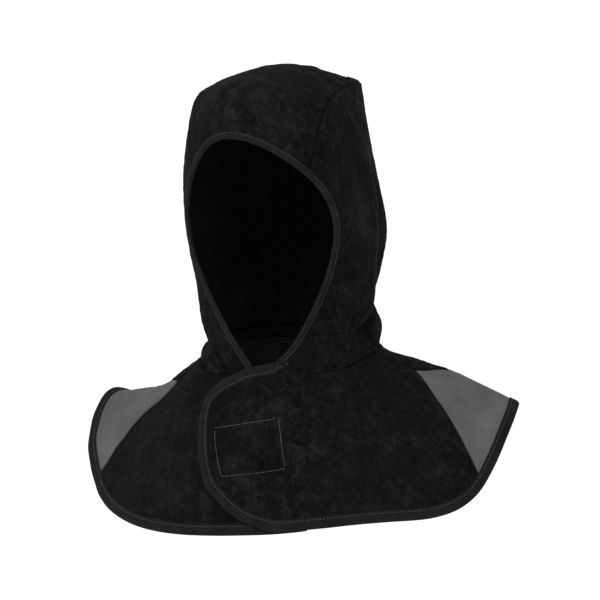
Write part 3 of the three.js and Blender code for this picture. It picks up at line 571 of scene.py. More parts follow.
def rim_flipped(P, ri, rj):
    """The grid's quads run i then j; the ring above runs i first at j = 0, so its side faces match them."""
    return True


def tube_ends(n_ring, first, last, flip=False):
    """Fans that close a tube of rings, as triangles from each ring's first point."""
    a = np.array([[first, first + i, first + i + 1] for i in range(1, n_ring - 1)])
    c = np.array([[last, last + i + 1, last + i] for i in range(1, n_ring - 1)])
    return np.concatenate([a, c])


def add_band(b, rings, uv=None, wear=None):
    """A closed band from rings (stations, points of a closed section, 3)."""
    n, m = rings.shape[:2]
    i, j = np.meshgrid(np.arange(n - 1), np.arange(m), indexing="ij")
    j2 = (j + 1) % m
    quads = np.stack([i * m + j, i * m + j2, (i + 1) * m + j2, (i + 1) * m + j], -1).reshape(-1, 4)
    # ends: a centre point each
    centre = rings[[0, -1]].mean(1)
    k = np.arange(m)
    k2 = (k + 1) % m
    c0, c1 = n * m, n * m + 1
    tris = np.concatenate([np.stack([np.full(m, c0), k2, k], -1), np.stack([np.full(m, c1), (n - 1) * m + k, (n - 1) * m + k2], -1)])
    verts = np.concatenate([rings.reshape(-1, 3), centre])
    uvs = None if uv is None else np.concatenate([uv.reshape(-1, 2), uv[[0, -1], 0]])
    wears = None if wear is None else np.concatenate([wear.ravel(), wear[[0, -1], 0]])
    b.add(verts, quads, tris, uvs, wears)


# The folded tape's section: x in from the leather's edge, z out from the leather's outer face (0) to its
# inner face (-thick), and how much a stitch pulls that point down.
def tape_section(thick):
    top = [(7.00, 0.08, 0), (7.10, 0.32, 0), (6.90, 0.56, 0.0), (6.10, 0.66, 0.3), (5.60, 0.62, 0.8), (5.15, 0.58, 1.0), (4.70, 0.68, 0.7), (4.00, 0.94, 0.2), (2.70, 1.10, 0), (0.70, 0.92, 0), (-0.10, 0.66, 0), (-0.75, 0.20, 0), (-1.08, -0.35, 0)]
    mid = [(-1.16, -thick / 2, 0)]
    low = [(x, -thick - z, d) for x, z, d in reversed(top)]
    hidden = [(3.5, -thick - 0.05, 0), (0.2, -thick - 0.05, 0), (-0.25, -thick / 2, 0), (0.2, 0.05, 0), (3.5, 0.05, 0)]
    return np.array(top + mid + low + hidden, float), len(top) * 2 + 1


STITCH_PITCH = 2.9
FACE_TAPE, HEM_TAPE = 5.4, 8.8


def tape(b, E, Q, frame_at, thick, lift=0.0, bumps=()):
    """The tape over an edge. E, Q: (n, 2) places of the edge and of the tape's inner end. frame_at gives point and normal."""
    sec, _ = tape_section(thick)
    levels = np.linspace(0, 1, 5)
    pts, nrm = [], []
    for k in levels:
        p, n = frame_at(E + (Q - E) * k)
        pts.append(p)
        nrm.append(n)
    pts, nrm = np.stack(pts, 1), np.stack(nrm, 1)              # (n, 5, 3)
    inward = unit(pts[:, 1] - pts[:, 0])
    width = np.linalg.norm(np.diff(pts, axis=1), axis=-1).sum(1)
    along = np.concatenate([[0], np.cumsum(np.linalg.norm(np.diff(pts[:, 2], axis=0), axis=-1))])
    rings = np.zeros((len(E), len(sec), 3))
    dip = 0.5 + 0.5 * np.cos(2 * np.pi * along / STITCH_PITCH)
    rib = 0.05 * np.sin(2 * np.pi * along / 1.45)
    for j, (x, z, d) in enumerate(sec):
        f = max(0.0, x) / 7.0 * 4
        i = min(3, int(f))
        k = f - i
        p = pts[:, i] * (1 - k) + pts[:, i + 1] * k
        n = unit(nrm[:, i] * (1 - k) + nrm[:, i + 1] * k)
        if x < 0:
            p = p + inward * x
        outside = z > -thick / 2
        zz = z + (-(0.22 * dip * d) + (rib if abs(d) < 0.5 and j < 27 else 0) if outside else (0.22 * dip * d))
        for centre, high, wide in bumps:
            zz = zz + (high if outside else 0) * bell(along - np.interp(centre, np.arange(len(E)), along), wide)
        zz = zz + (lift if outside else 0)
        rings[:, j] = p + n * np.broadcast_to(zz, (len(E),))[:, None]
    across = np.concatenate([[0], np.cumsum(np.linalg.norm(np.diff(sec[:, :2], axis=0), axis=-1))])
    uv = np.stack(np.broadcast_arrays(along[:, None], across[None]), -1)
    wear = np.broadcast_to(np.where(sec[:, 0] < 0.3, 1.0, 0.0)[None], rings.shape[:2])
    add_band(b, rings, uv, wear)
    # where the two rows of stitches run
    f = 5.15 / 7.0 * 4
    i = int(f)
    k = f - i
    p = pts[:, i] * (1 - k) + pts[:, i + 1] * k
    n = unit(nrm[:, i] * (1 - k) + nrm[:, i + 1] * k)
    return p + n * (0.50 + lift), n, p - n * (thick + 0.50), -n


def resample(P, N, pitch, start=0.0):
    d = np.concatenate([[0], np.cumsum(np.linalg.norm(np.diff(P, axis=0), axis=-1))])
    at = np.arange(start, d[-1] - 1e-6, pitch)
    pick = lambda A, x: np.stack([np.interp(x, d, A[:, k]) for k in range(3)], -1)
    return at, d[-1], lambda x: pick(P, x), lambda x: unit(pick(N, x))


def stitches(b, P, N, pitch=STITCH_PITCH, length=2.15, radius=0.3, sink=0.12, rings=6, sides=6, start=0.4, seed=1, flatten=0.85):
    """A row of thread stitches along a line P on a surface with normals N."""
    at, total, place, normal = resample(np.asarray(P), np.asarray(N), pitch, start)
    at = at[at + length < total]
    if not len(at):
        return
    r = np.random.RandomState(seed)
    k = np.linspace(0, 1, rings)
    x = at[:, None] + (0.02 + 0.96 * k[None]) * length * (1 + 0.05 * r.normal(size=(len(at), 1)))
    p, n = place(x.ravel()).reshape(len(at), rings, 3), normal(x.ravel()).reshape(len(at), rings, 3)
    t = unit(place(at + length) - place(at))[:, None, :]
    s = unit(np.cross(n, t))
    # an arch: its ends dive into the surface
    arch = np.sin(np.pi * k) ** 0.6
    lift = (arch * (radius * 0.9 + sink) - sink - radius * 0.35)[None, :, None]
    centre = p + n * lift + s * (0.07 * r.normal(size=(len(at), 1, 1)))
    rad = radius * np.sqrt(np.clip(1 - (2 * k - 1) ** 6, 0.12, 1))
    th = np.linspace(0, 2 * np.pi, sides, endpoint=False)
    ring = centre[:, :, None] + rad[None, :, None, None] * (np.cos(th)[None, None, :, None] * s[:, :, None] + flatten * np.sin(th)[None, None, :, None] * n[:, :, None])
    ns = len(at)
    verts = np.concatenate([ring.reshape(ns, -1, 3), centre[:, :1] - t * rad[0] * 0.5, centre[:, -1:] + t * rad[-1] * 0.5], axis=1)
    per = rings * sides + 2
    i, j = np.meshgrid(np.arange(rings - 1), np.arange(sides), indexing="ij")
    j2 = (j + 1) % sides
    q = np.stack([i * sides + j, i * sides + j2, (i + 1) * sides + j2, (i + 1) * sides + j], -1).reshape(-1, 4)
    jj = np.arange(sides)
    jk = (jj + 1) % sides
    tr = np.concatenate([np.stack([np.full(sides, per - 2), jk, jj], -1), np.stack([np.full(sides, per - 1), (rings - 1) * sides + jj, (rings - 1) * sides + jk], -1)])
    off = (np.arange(ns) * per)[:, None, None]
    u = (x[:, :, None] + 0 * th[None, None]).reshape(ns, -1)
    w = np.broadcast_to(th[None, None] * radius, (ns, rings, sides)).reshape(ns, -1)
    uv = np.stack([np.concatenate([u, at[:, None], at[:, None] + length], 1), np.concatenate([w, np.zeros((ns, 2))], 1)], -1)
    b.add(verts.reshape(-1, 3), (q[None] + off).reshape(-1, 4), (tr[None] + off).reshape(-1, 3), uv.reshape(-1, 2))


def allowance(b, place, n_along, width, thick, wall_thick, seed, steps=7, gap=0.3):
    """A seam allowance turned back on a panel's inner face. place(k, x) gives the outer face's point and normal at k along the seam and x mm in from it."""
    r = np.random.RandomState(seed)
    k = np.linspace(0, 1, n_along)
    x = np.linspace(0, 1, steps) ** 0.8
    wid = width + 0.35 * np.interp(k, np.linspace(0, 1, 40), r.normal(size=40))
    K, X = np.meshgrid(k, x, indexing="ij")
    P, N = place(K, -0.3 + X * wid[:, None])
    low = gap + 0.25 * smooth((X - 0.35) / 0.6) * (1 + 0.6 * np.interp(k, np.linspace(0, 1, 31), r.normal(size=31)))[:, None]
    top = P - N * (wall_thick + low)[..., None]
    out = top - N * thick
    end = unit(top[:, -1] - top[:, -2])
    rings = np.concatenate([top, (top[:, -1] + end * 0.25 - N[:, -1] * thick * 0.3)[:, None], (top[:, -1] + end * 0.25 - N[:, -1] * thick * 0.7)[:, None], out[:, ::-1]], axis=1)
    m = rings.shape[1]
    along = np.concatenate([[0], np.cumsum(np.linalg.norm(np.diff(P[:, 0], axis=0), axis=-1))])
    across = np.linspace(0, 2 * width, m)
    add_band(b, rings, np.stack(np.broadcast_arrays(along[:, None], across[None]), -1), np.zeros((len(k), m)))
    return P, N, wall_thick + gap + thick


def nap(P, N, amount=1.0):
    """The suede's uneven nap, as a fine relief."""
    return P + N * (amount * (0.16 * waves(P, 7.5, 31) + 0.10 * waves(P, 3.6, 32)))[..., None]


def relief_wear_and_shade(P, N):
    """Where a panel stands out from its own surroundings, from -1 to 1. On the suede it paints ridges lighter (rubbed
    nap and painted highlight) and hollows and creases darker (painted shade).
    """
    d = np.zeros(P.shape[:2])
    for step in (3, 7):
        pad = np.pad(P, ((step, step), (step, step), (0, 0)), mode="edge")
        mean = sum(pad[step + a * step : step + a * step + P.shape[0], step + c * step : step + c * step + P.shape[1]] for a, c in ((1, 0), (-1, 0), (0, 1), (0, -1))) / 4
        h = ((P - mean) * N).sum(-1)
        h[:step] = h[-step:] = 0
        h[:, :step] = h[:, -step:] = 0
        d += h / (0.35 * step)
    return np.clip(d, -1, 1)


def panel(name, P, N, thick, node, amount=1.0, extra=None):
    b = Builder()
    P = nap(P, N, amount)
    # the panel's relief is kept per point: the suede paints its ridges lighter (rubbed nap and painted highlight) and
    # its hollows and creases darker (painted shade)
    add_wall(b, P, N, thick, relief_wear_and_shade(P, N))
    if extra:
        extra(b)
    ob = b.make(name)
    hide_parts(node)
    declare(ob, P - N * thick / 2)
    return ob


def declare(ob, M):
    """A panel's sheet: the longest lengths of its middle surface both ways, and that surface's area, kept in flats."""
    w, l = np.linalg.norm(np.diff(M, axis=0), axis=-1).sum(0).max() * 0.001, np.linalg.norm(np.diff(M, axis=1), axis=-1).sum(1).max() * 0.001
    area = 0.5 * np.linalg.norm(np.cross(M[1:, 1:] - M[:-1, :-1], M[1:, :-1] - M[:-1, 1:]), axis=-1).sum() * 1e-6
    flats[ob.name] = (w, l, area)


flats = {}


# Seam allowances: (place function, samples along)
def hood_seam_strip(sign, side):
    """Along a crown seam: sign picks the wearer's side, side = -1 the crown's strip, 1 the side panel's."""

    def place(k, x):
        s = EDGE_S + 0.03 + (0.985 - EDGE_S - 0.03) * k
        t0 = sign * SEAM
        lt = np.linalg.norm(hood_bare(s, t0 + 0.004) - hood_bare(s, t0 - 0.004), axis=-1) / 0.008
        return hood_frame(s, t0 + sign * side * x / lt, False)

    return place


def hood_neck_strip(t0, t1):
    """Up from the nape's seam on the hood, s near 1."""

    def place(k, x):
        t = t0 + (t1 - t0) * k
        ls = np.linalg.norm(hood_bare(0.99, t) - hood_bare(0.97, t), axis=-1) / 0.02
        return hood_frame(1 - 0.002 - x / ls, t, False)

    return place


def hood_throat_strip(sign, s0, s1):
    """Up from the neck seam on a side panel, t near 1."""

    def place(k, x):
        s = s0 + (s1 - s0) * k
        lt = np.linalg.norm(hood_bare(s, sign * 0.99) - hood_bare(s, sign * 0.97), axis=-1) / 0.02
        return hood_frame(s, sign * (1 - 0.004 - x / lt), False)

    return place


def cape_seam_strip(seam, sign, v0, v1, layer):
    def place(k, x):
        v = v0 + (v1 - v0) * k
        a0 = seam(v)
        la = np.linalg.norm(cape_base(a0 + 0.5, v) - cape_base(a0 - 0.5, v), axis=-1)
        return cape_frame(a0 + sign * x / la, v, layer, False)

    return place


def cape_neck_strip(a0, a1, layer):
    def place(k, x):
        a = a0 + (a1 - a0) * k
        lv = np.linalg.norm(cape_base(a, 0.03) - cape_base(a, 0.01), axis=-1) / 0.02
        return cape_frame(a, NECK_V + x / lv, layer, False)

    return place


def strips(*rows):
    def extra(b):
        for i, (place, n, width, thick, wall_thick) in enumerate(rows):
            allowance(b, place, n, width, thick, wall_thick, 100 + i)

    return extra


# ==== hood panels
NS = 214
dT = 0.0001       # the sewn edges run just past each other


def hood_rows(t):
    """The rows of a hood panel: they end a little below the neck seam, inside the cape."""
    t = np.minimum(np.abs(t), 1)
    ls = np.linalg.norm(hood_bare(1.0, t) - hood_bare(0.99, t), axis=-1) / 0.01
    return EDGE_S + (1 + np.minimum(4.5 / ls, 0.045) - EDGE_S) * np.linspace(0, 1, NS)[:, None]


rows_s = np.linspace(EDGE_S, 1.0, NS)[:, None]
_x = np.linspace(-1, 1, 92)
crown_t = ((SEAM - dT) * (0.15 * _x + 0.85 * np.sin(np.pi * _x / 2)))[None]
_x = np.linspace(-1, 1, 138)
_x = 0.3 * _x + 0.7 * np.sin(np.pi * _x / 2)
_lt = np.linalg.norm(hood_bare(rows_s, 1.0) - hood_bare(rows_s, 0.99), axis=-1) / 0.01
_end = 1 + (0.4 + 4.4 * smooth((rows_s - 0.03) / 0.08)) / _lt
side_t = (_end + SEAM + dT) / 2 + (_end - SEAM - dT) / 2 * _x[None]

P, N = hood_frame(*np.broadcast_arrays(hood_rows(crown_t), crown_t))
crown = panel("crown_panel", P, N, LEATHER, "hood_crown_panel", extra=strips(
    (hood_seam_strip(1, -1), 200, 8, 1.5, LEATHER), (hood_seam_strip(-1, -1), 200, 8, 1.5, LEATHER), (hood_neck_strip(-0.19, 0.19), 40, 7, 1.5, LEATHER)))
P, N = hood_frame(hood_rows(side_t), side_t)
side_left = panel("side_panel_left", P, N, LEATHER, "hood_side_left", extra=strips(
    (hood_seam_strip(1, 1), 200, 8, 1.5, LEATHER), (hood_neck_strip(0.21, 0.98), 80, 7, 1.5, LEATHER), (hood_throat_strip(1, 0.1, 0.96), 100, 7, 1.5, LEATHER)))
P, N = hood_frame(hood_rows(side_t)[:, ::-1], -side_t[:, ::-1])
side_right = panel("side_panel_right", P, N, LEATHER, "hood_side_right", extra=strips(
    (hood_seam_strip(-1, 1), 200, 8, 1.5, LEATHER), (hood_neck_strip(-0.98, -0.21), 80, 7, 1.5, LEATHER), (hood_throat_strip(-1, 0.1, 0.96), 100, 7, 1.5, LEATHER)))

# ==== cape panels
uv_u, uv_w = np.linspace(0, 1, 170)[:, None], np.linspace(0, 1, 96)[None]
F = flap_place(uv_u, uv_w)
P, N = cape_frame(F[..., 0], F[..., 1], "outer")
front_left = panel("front_left_flap", P, N, LEATHER, "cape_front_left", extra=strips(
    (cape_seam_strip(left_front, -1, 0.02, 0.93, "outer"), 120, 8, 1.5, LEATHER), (cape_neck_strip(26, 95, "outer"), 90, 7, 1.5, LEATHER)))


def between(fa, fb, nu, nv, v0=NECK_V, v1=1.0):
    v = np.linspace(v0, v1, nv)[None]
    u = np.linspace(0, 1, nu)[:, None]
    return fa(v) + (fb(v) - fa(v)) * u, v + 0 * u


A, V = between(lambda v: gap_angle(v, right_front(v), 1), under_edge, 130, 92)
P, N = cape_frame(A, V, "inner")
front_right = panel("front_right_panel", P, N, LEATHER, "cape_front_right", extra=strips(
    (cape_seam_strip(right_front, 1, 0.02, 0.93, "inner"), 120, 8, 1.5, LEATHER), (cape_neck_strip(-64, 18, "inner"), 90, 7, 1.5, LEATHER)))
A, V = between(lambda v: gap_angle(v, left_back(v), 1), lambda v: gap_angle(v, right_back(v), -1) + 360, 250, 96)
P, N = cape_frame(A, V, "outer")
back = panel("back_panel", P, N, LEATHER, "cape_back", extra=strips(
    (cape_seam_strip(left_back, 1, 0.30, 0.93, "outer"), 120, 8, 1.5, LEATHER),
    (cape_seam_strip(lambda v: right_back(v) + 360, -1, 0.20, 0.93, "outer"), 120, 8, 1.5, LEATHER),
    (cape_neck_strip(99, 292, "outer"), 200, 7, 1.5, LEATHER)))


def gusset(name, fa, fb, layer, v0, node, rows):
    A, V = between(fa, fb, 74, 84, v0)
    P, N = cape_frame(A, V, layer)
    P = P - N * 0.3
    b = Builder()
    P = P + N * (0.05 * waves(P, 9, 41))[..., None]
    add_wall(b, P, N, CLOTH, relief_wear_and_shade(P, N), 0.12)
    strips(*rows)(b)
    ob = b.make(name)
    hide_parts(node)
    declare(ob, P - N * CLOTH / 2)
    return ob


gusset_left = gusset("gusset_cloth_left", lambda v: gap_angle(v, left_front(v), 1), lambda v: gap_angle(v, left_back(v), -1), "outer", 0.262, "shoulder_gusset_left",
                     [(cape_seam_strip(left_front, 1, 0.42, 0.93, "outer"), 90, 7, 0.8, CLOTH + 0.3), (cape_seam_strip(left_back, -1, 0.42, 0.93, "outer"), 90, 7, 0.8, CLOTH + 0.3)])
gusset_right = gusset("gusset_cloth_right", lambda v: gap_angle(v, right_back(v), 1), lambda v: gap_angle(v, right_front(v), -1), "inner", 0.178, "shoulder_gusset_right",
                      [(cape_seam_strip(right_back, 1, 0.36, 0.93, "inner"), 90, 7, 0.8, CLOTH + 0.3), (cape_seam_strip(right_front, -1, 0.36, 0.93, "inner"), 90, 7, 0.8, CLOTH + 0.3)])

# ==== binding tape
thread = {"face": Builder(), "cape": Builder(), "closure": Builder()}


def face_tape():
    t = np.linspace(-0.993, 1.012, 640)
    ls = np.linalg.norm(hood_bare(EDGE_S + 0.03, t) - hood_bare(EDGE_S, t), axis=-1) / 0.03
    E = np.stack([np.full(t.shape, EDGE_S), t], -1)
    Q = np.stack([EDGE_S + FACE_TAPE / ls, t], -1)
    b = Builder()
    seams = [np.interp(x, t, np.arange(len(t))) for x in (-SEAM, SEAM)]
    po, no, pi, ni = tape(b, E, Q, lambda q: hood_frame(q[:, 0], q[:, 1], False), LEATHER, bumps=[(x, 0.8, 3.5) for x in seams])
    stitches(thread["face"], po, no, seed=2)
    stitches(thread["face"], pi, ni, seed=3)
    ob = b.make("face_tape")
    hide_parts("face_binding")
    return ob


def cape_tape():
    # the whole path: (angle, v, layer) of the edge, and the tape's inner end
    def jac(a, v, layer):
        f = lambda x, y: cape_out(x, y, layer, False)
        return (f(a + 0.2, v) - f(a - 0.2, v)) / 0.4, (f(a, v + 0.004) - f(a, v - 0.004)) / 0.008

    rows = []
    w = np.linspace(0.0, 1, 330)
    e1 = flap_edge(w)
    # its end runs up under the hood's edge
    k = np.linspace(1, 0, 14)[:-1]
    e1 = np.concatenate([np.stack([e1[0, 0] + 4.6 * k, -0.0055 * k - 0.034 * k ** 2], -1), e1])
    rows.append((e1, "outer"))
    rows.append((np.stack([np.linspace(21, 245, 640)[1:], np.ones(639)], -1), "outer"))
    rows.append((np.stack([np.linspace(-115, UNDER_EDGE[1], 330)[1:], np.ones(329)], -1), "inner"))
    v = np.linspace(1, 0.004, 150)[1:]
    rows.append((np.stack([under_edge(v), v], -1), "inner"))
    E = np.concatenate([r[0] for r in rows])
    inner = np.concatenate([np.full(len(r[0]), r[1] == "inner") for r in rows])

    def frame_at(q):
        p, n = np.zeros((len(q), 3)), np.zeros((len(q), 3))
        for layer, m in (("outer", ~inner), ("inner", inner)):
            p[m], n[m] = cape_frame(q[m, 0], q[m, 1], layer, False)
        return p, n

    p, n = frame_at(E)
    tangent = unit(np.gradient(p, axis=0))
    b = unit(np.cross(n, tangent))
    # inward is towards the panel: up from the hem
    Q = np.zeros_like(E)
    for layer, m in (("outer", ~inner), ("inner", inner)):
        fa, fv = jac(E[m, 0], E[m, 1], layer)
        J = np.stack([fa, fv], -1)
        g = np.einsum("nij,nik->njk", J, J)
        rhs = np.einsum("nij,ni->nj", J, b[m])
        Q[m] = E[m] + np.linalg.solve(g, rhs[..., None])[..., 0] * HEM_TAPE
    # inward has to be towards larger v at the flap's top, and smaller v at the hem
    hem = np.argmin(np.abs(E[:, 0] - 100) + 100 * np.abs(E[:, 1] - 1))
    if Q[hem, 1] > E[hem, 1]:
        Q = 2 * E - Q
    # the inner end turns the corner at the throat in a smooth line
    m = 80
    soft = np.stack([np.convolve(np.pad(Q[:m, i], 14, mode="edge"), np.full(29, 1 / 29), "valid") for i in (0, 1)], -1)
    w = smooth((m - 16 - np.arange(m)) / 24)[:, None]
    Q[:m] = Q[:m] * (1 - w) + soft * w
    # the square corner of the panel under the flap: the tape's inner end stays at one point
    k = int(np.argmin(np.abs(E[:, 0] - UNDER_EDGE[1]) + 100 * np.abs(E[:, 1] - 1) + 1000 * ~inner))
    arc = np.concatenate([[0], np.cumsum(np.linalg.norm(np.diff(p, axis=0), axis=-1))])
    before = np.searchsorted(arc, arc[k] - HEM_TAPE - 0.5)
    after = np.searchsorted(arc, arc[k] + HEM_TAPE + 0.5)
    corner = np.array([Q[after, 0], Q[before, 1]])
    Q[before : after + 1] = corner
    body = Builder()
    po, no, pi, ni = tape(body, E, Q, frame_at, LEATHER)
    stitches(thread["cape"], po[: before], no[: before], radius=0.42, length=2.1, seed=4)
    stitches(thread["cape"], pi[: before], ni[: before], seed=5)
    ob = body.make("cape_tape")
    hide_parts("cape_binding")
    return ob


face = face_tape()
cape = cape_tape()

# ==== the stitched rectangle on the flap and the hidden pad
RECTANGLE = [(-12.8, 0.374), (16.6, 0.298), (19.6, 0.596), (-4.0, 0.660)]


def rectangle():
    c = np.array(RECTANGLE)
    for i in range(4):
        a, d = c[i], c[(i + 1) % 4]
        k = np.linspace(0, 1, 60)[:, None]
        q = a + (d - a) * k
        p, n = cape_frame(q[:, 0], q[:, 1], "outer", False)
        stitches(thread["closure"], p, n, pitch=2.5, length=2.0, radius=0.26, sink=0.2, start=0.15, seed=10 + i)


rectangle()


def pad():
    la = np.linalg.norm(cape_base(PATCH["angle"] + 1, PATCH["v"]) - cape_base(PATCH["angle"], PATCH["v"]))
    lv = np.linalg.norm(cape_base(PATCH["angle"], PATCH["v"] + 0.01) - cape_base(PATCH["angle"], PATCH["v"])) / 0.01
    x = np.linspace(-0.5, 0.5, 64)[:, None] * PATCH["width"]
    z = np.linspace(0.5, -0.5, 52)[None] * PATCH["height"]
    p, n = cape_frame(PATCH["angle"] + x / la + 0 * z, PATCH["v"] - z / lv + 0 * x, "inner", False)
    p = p + n * (PATCH["thick"] + 0.5)
    p = p + n * (0.18 * waves(p, 1.9, 51))[..., None]
    b = Builder()
    add_wall(b, p, n, PATCH["thick"])
    ob = b.make("hook_and_loop_pad")
    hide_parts("closure_patch")
    return ob


pad_ob = pad()
threads = [thread["face"].make("face_stitches"), thread["cape"].make("hem_stitches"), thread["closure"].make("closure_stitches")]


# ==== materials
def srgb(*c):
    return tuple((x / 255 / 12.92) if x / 255 <= 0.04045 else ((x / 255 + 0.055) / 1.055) ** 2.4 for x in c) + (1.0,)


class Nodes:
    def __init__(self, name):
        self.mat = bpy.data.materials.new(name)
        self.mat.use_nodes = True
        self.t = self.mat.node_tree
        self.t.nodes.clear()
        self.out = self.t.nodes.new("ShaderNodeOutputMaterial")
        self.bsdf = self.t.nodes.new("ShaderNodeBsdfPrincipled")
        self.t.links.new(self.bsdf.outputs[0], self.out.inputs["Surface"])

    def new(self, kind, **values):
        n = self.t.nodes.new(kind)
        for k, v in values.items():
            if hasattr(n, k):
                setattr(n, k, v)
            else:
                n.inputs[k].default_value = v
        return n

    def link(self, a, b):
        self.t.links.new(a, b)

    def coords(self):
        return self.new("ShaderNodeTexCoord").outputs["Object"]

    def flat(self):
        return self.new("ShaderNodeUVMap", uv_map="Flat").outputs["UV"]

    def mapped(self, vec, scale, rotation=(0, 0, 0), location=(0, 0, 0)):
        m = self.new("ShaderNodeMapping")
        m.inputs["Scale"].default_value = scale
        m.inputs["Rotation"].default_value = rotation
        m.inputs["Location"].default_value = location
        self.link(vec, m.inputs["Vector"])
        return m.outputs["Vector"]

    def noise(self, vec, scale, detail=3.0, rough=0.5, distortion=0.0):
        n = self.new("ShaderNodeTexNoise")
        n.inputs["Scale"].default_value = scale
        n.inputs["Detail"].default_value = detail
        n.inputs["Roughness"].default_value = rough
        n.inputs["Distortion"].default_value = distortion
        self.link(vec, n.inputs["Vector"])
        return n.outputs["Fac"]

    def math(self, op, a, b=None, c=None, clamp=False):
        n = self.new("ShaderNodeMath", operation=op, use_clamp=clamp)
        for i, x in enumerate((a, b, c)):
            if x is None:
                continue
            if isinstance(x, (int, float)):
                n.inputs[i].default_value = x
            else:
                self.link(x, n.inputs[i])
        return n.outputs[0]

    def remap(self, x, a, b, c, d):
        n = self.new("ShaderNodeMapRange")
        n.inputs["From Min"].default_value, n.inputs["From Max"].default_value = a, b
        n.inputs["To Min"].default_value, n.inputs["To Max"].default_value = c, d
        self.link(x, n.inputs["Value"])
        return n.outputs["Result"]

    def ramp(self, x, stops):
        n = self.new("ShaderNodeValToRGB")
        e = n.color_ramp.elements
        while len(e) < len(stops):
            e.new(0.5)
        for k, (pos, colour) in zip(e, stops):
            k.position, k.color = pos, colour
        self.link(x, n.inputs["Fac"])
        return n.outputs["Color"]

    def bump(self, height, strength, distance, under=None):
        n = self.new("ShaderNodeBump")
        n.inputs["Strength"].default_value = strength
        n.inputs["Distance"].default_value = distance
        self.link(height, n.inputs["Height"])
        if under is not None:
            self.link(under, n.inputs["Normal"])
        return n.outputs["Normal"]

    def attribute(self, name):
        return self.new("ShaderNodeAttribute", attribute_name=name).outputs["Fac"]

    def mix(self, fac, a, b):
        n = self.new("ShaderNodeMix", data_type="RGBA")
        if isinstance(fac, (int, float)):
            n.inputs[0].default_value = fac
        else:
            self.link(fac, n.inputs[0])
        for i, x in ((6, a), (7, b)):
            if isinstance(x, tuple):
                n.inputs[i].default_value = x
            else:
                self.link(x, n.inputs[i])
        return n.outputs[2]

    def set(self, **values):
        for k, v in values.items():
            self.bsdf.inputs[k.replace("_", " ")].default_value = v


def suede(name, shift=0.0):
    m = Nodes(name)
    o = m.coords()
    o = m.mapped(o, (1, 1, 1), location=(shift, shift * 0.7, -shift))
    cloud = m.noise(o, 24, 4, 0.6, 0.4)
    patch = m.noise(m.mapped(o, (1, 1, 0.85)), 120, 5, 0.66, 0.9)
    brushed = m.noise(m.mapped(m.flat(), (0.26, 0.46, 1), rotation=(0, 0, 0.6)), 1.0, 4, 0.65, 2.2)
    fibre = m.noise(o, 900, 3, 0.6, 0.5)
    hair = m.noise(m.mapped(m.flat(), (1.1, 4.2, 1), rotation=(0, 0, 0.25)), 1.0, 3, 0.6, 1.2)
    tone = m.math("ADD", m.math("MULTIPLY", cloud, 0.20), m.math("MULTIPLY", patch, 0.42))
    tone = m.math("ADD", tone, m.math("MULTIPLY", brushed, 0.07))
    tone = m.math("ADD", tone, m.math("MULTIPLY", fibre, 0.25))
    tone = m.math("ADD", tone, m.math("MULTIPLY", hair, 0.06))
    # painted light: ridges lighter (rubbed nap and painted highlight), hollows and creases darker (painted shade)
    wear = m.attribute("wear")
    tone = m.math("ADD", tone, m.math("MULTIPLY", wear, 0.06))
    black, mid, pale = srgb(4.5, 4.5, 4.6), srgb(10, 10, 10.2), srgb(24, 24, 24.5)
    colour = m.ramp(tone, [(0.38, black), (0.50, mid), (0.63, pale)])
    tint = m.noise(o, 9, 2, 0.5)
    colour = m.mix(m.remap(tint, 0.42, 0.62, 0.0, 0.3), colour, srgb(14, 13, 13.6))
    m.link(colour, m.bsdf.inputs["Base Color"])
    m.link(m.remap(tone, 0.3, 0.7, 1.0, 0.82), m.bsdf.inputs["Roughness"])
    b1 = m.bump(m.math("ADD", m.math("MULTIPLY", patch, 0.6), m.math("MULTIPLY", brushed, 0.4)), 0.35, 0.0012)
    b2 = m.bump(m.math("ADD", fibre, m.math("MULTIPLY", hair, 0.7)), 0.55, 0.0004, b1)
    m.link(b2, m.bsdf.inputs["Normal"])
    m.set(Specular_IOR_Level=0.02, Sheen_Weight=0.004, Sheen_Roughness=0.55)
    m.bsdf.inputs["Sheen Tint"].default_value = srgb(195, 195, 198)
    return m.mat


def tape_material(name):
    m = Nodes(name)
    o, f = m.coords(), m.flat()
    xyz = m.new("ShaderNodeSeparateXYZ")
    m.link(f, xyz.inputs[0])
    u, w = xyz.outputs["X"], xyz.outputs["Y"]
    rib = m.math("SINE", m.math("MULTIPLY", u, 2 * math.pi / 0.72))
    yarn = m.math("SINE", m.math("ADD", m.math("MULTIPLY", w, 2 * math.pi / 0.55), m.math("MULTIPLY", u, math.pi / 0.72)))
    weave = m.math("MULTIPLY", m.math("ADD", rib, 1.0), m.math("ADD", m.math("MULTIPLY", yarn, 0.5), 1.0))
    fuzz = m.noise(o, 700, 3, 0.6)
    cloud = m.noise(o, 60, 3, 0.6)
    tone = m.math("ADD", m.math("MULTIPLY", weave, 0.17), m.math("ADD", m.math("MULTIPLY", fuzz, 0.3), m.math("MULTIPLY", cloud, 0.45)))
    # on the tape only its folded edge is marked, and it comes out lighter as rubbed wear
    tone = m.math("ADD", tone, m.math("MULTIPLY", m.attribute("wear"), 0.06))
    colour = m.ramp(tone, [(0.34, srgb(8, 8, 8.4)), (0.52, srgb(16, 16, 16.5)), (0.72, srgb(30, 30, 31))])
    m.link(colour, m.bsdf.inputs["Base Color"])
    m.link(m.remap(fuzz, 0.3, 0.7, 0.78, 0.95), m.bsdf.inputs["Roughness"])
    b = m.bump(m.math("ADD", weave, m.math("MULTIPLY", fuzz, 0.8)), 0.5, 0.00018)
    m.link(b, m.bsdf.inputs["Normal"])
    m.set(Specular_IOR_Level=0.03, Sheen_Weight=0.003, Sheen_Roughness=0.5)
    return m.mat


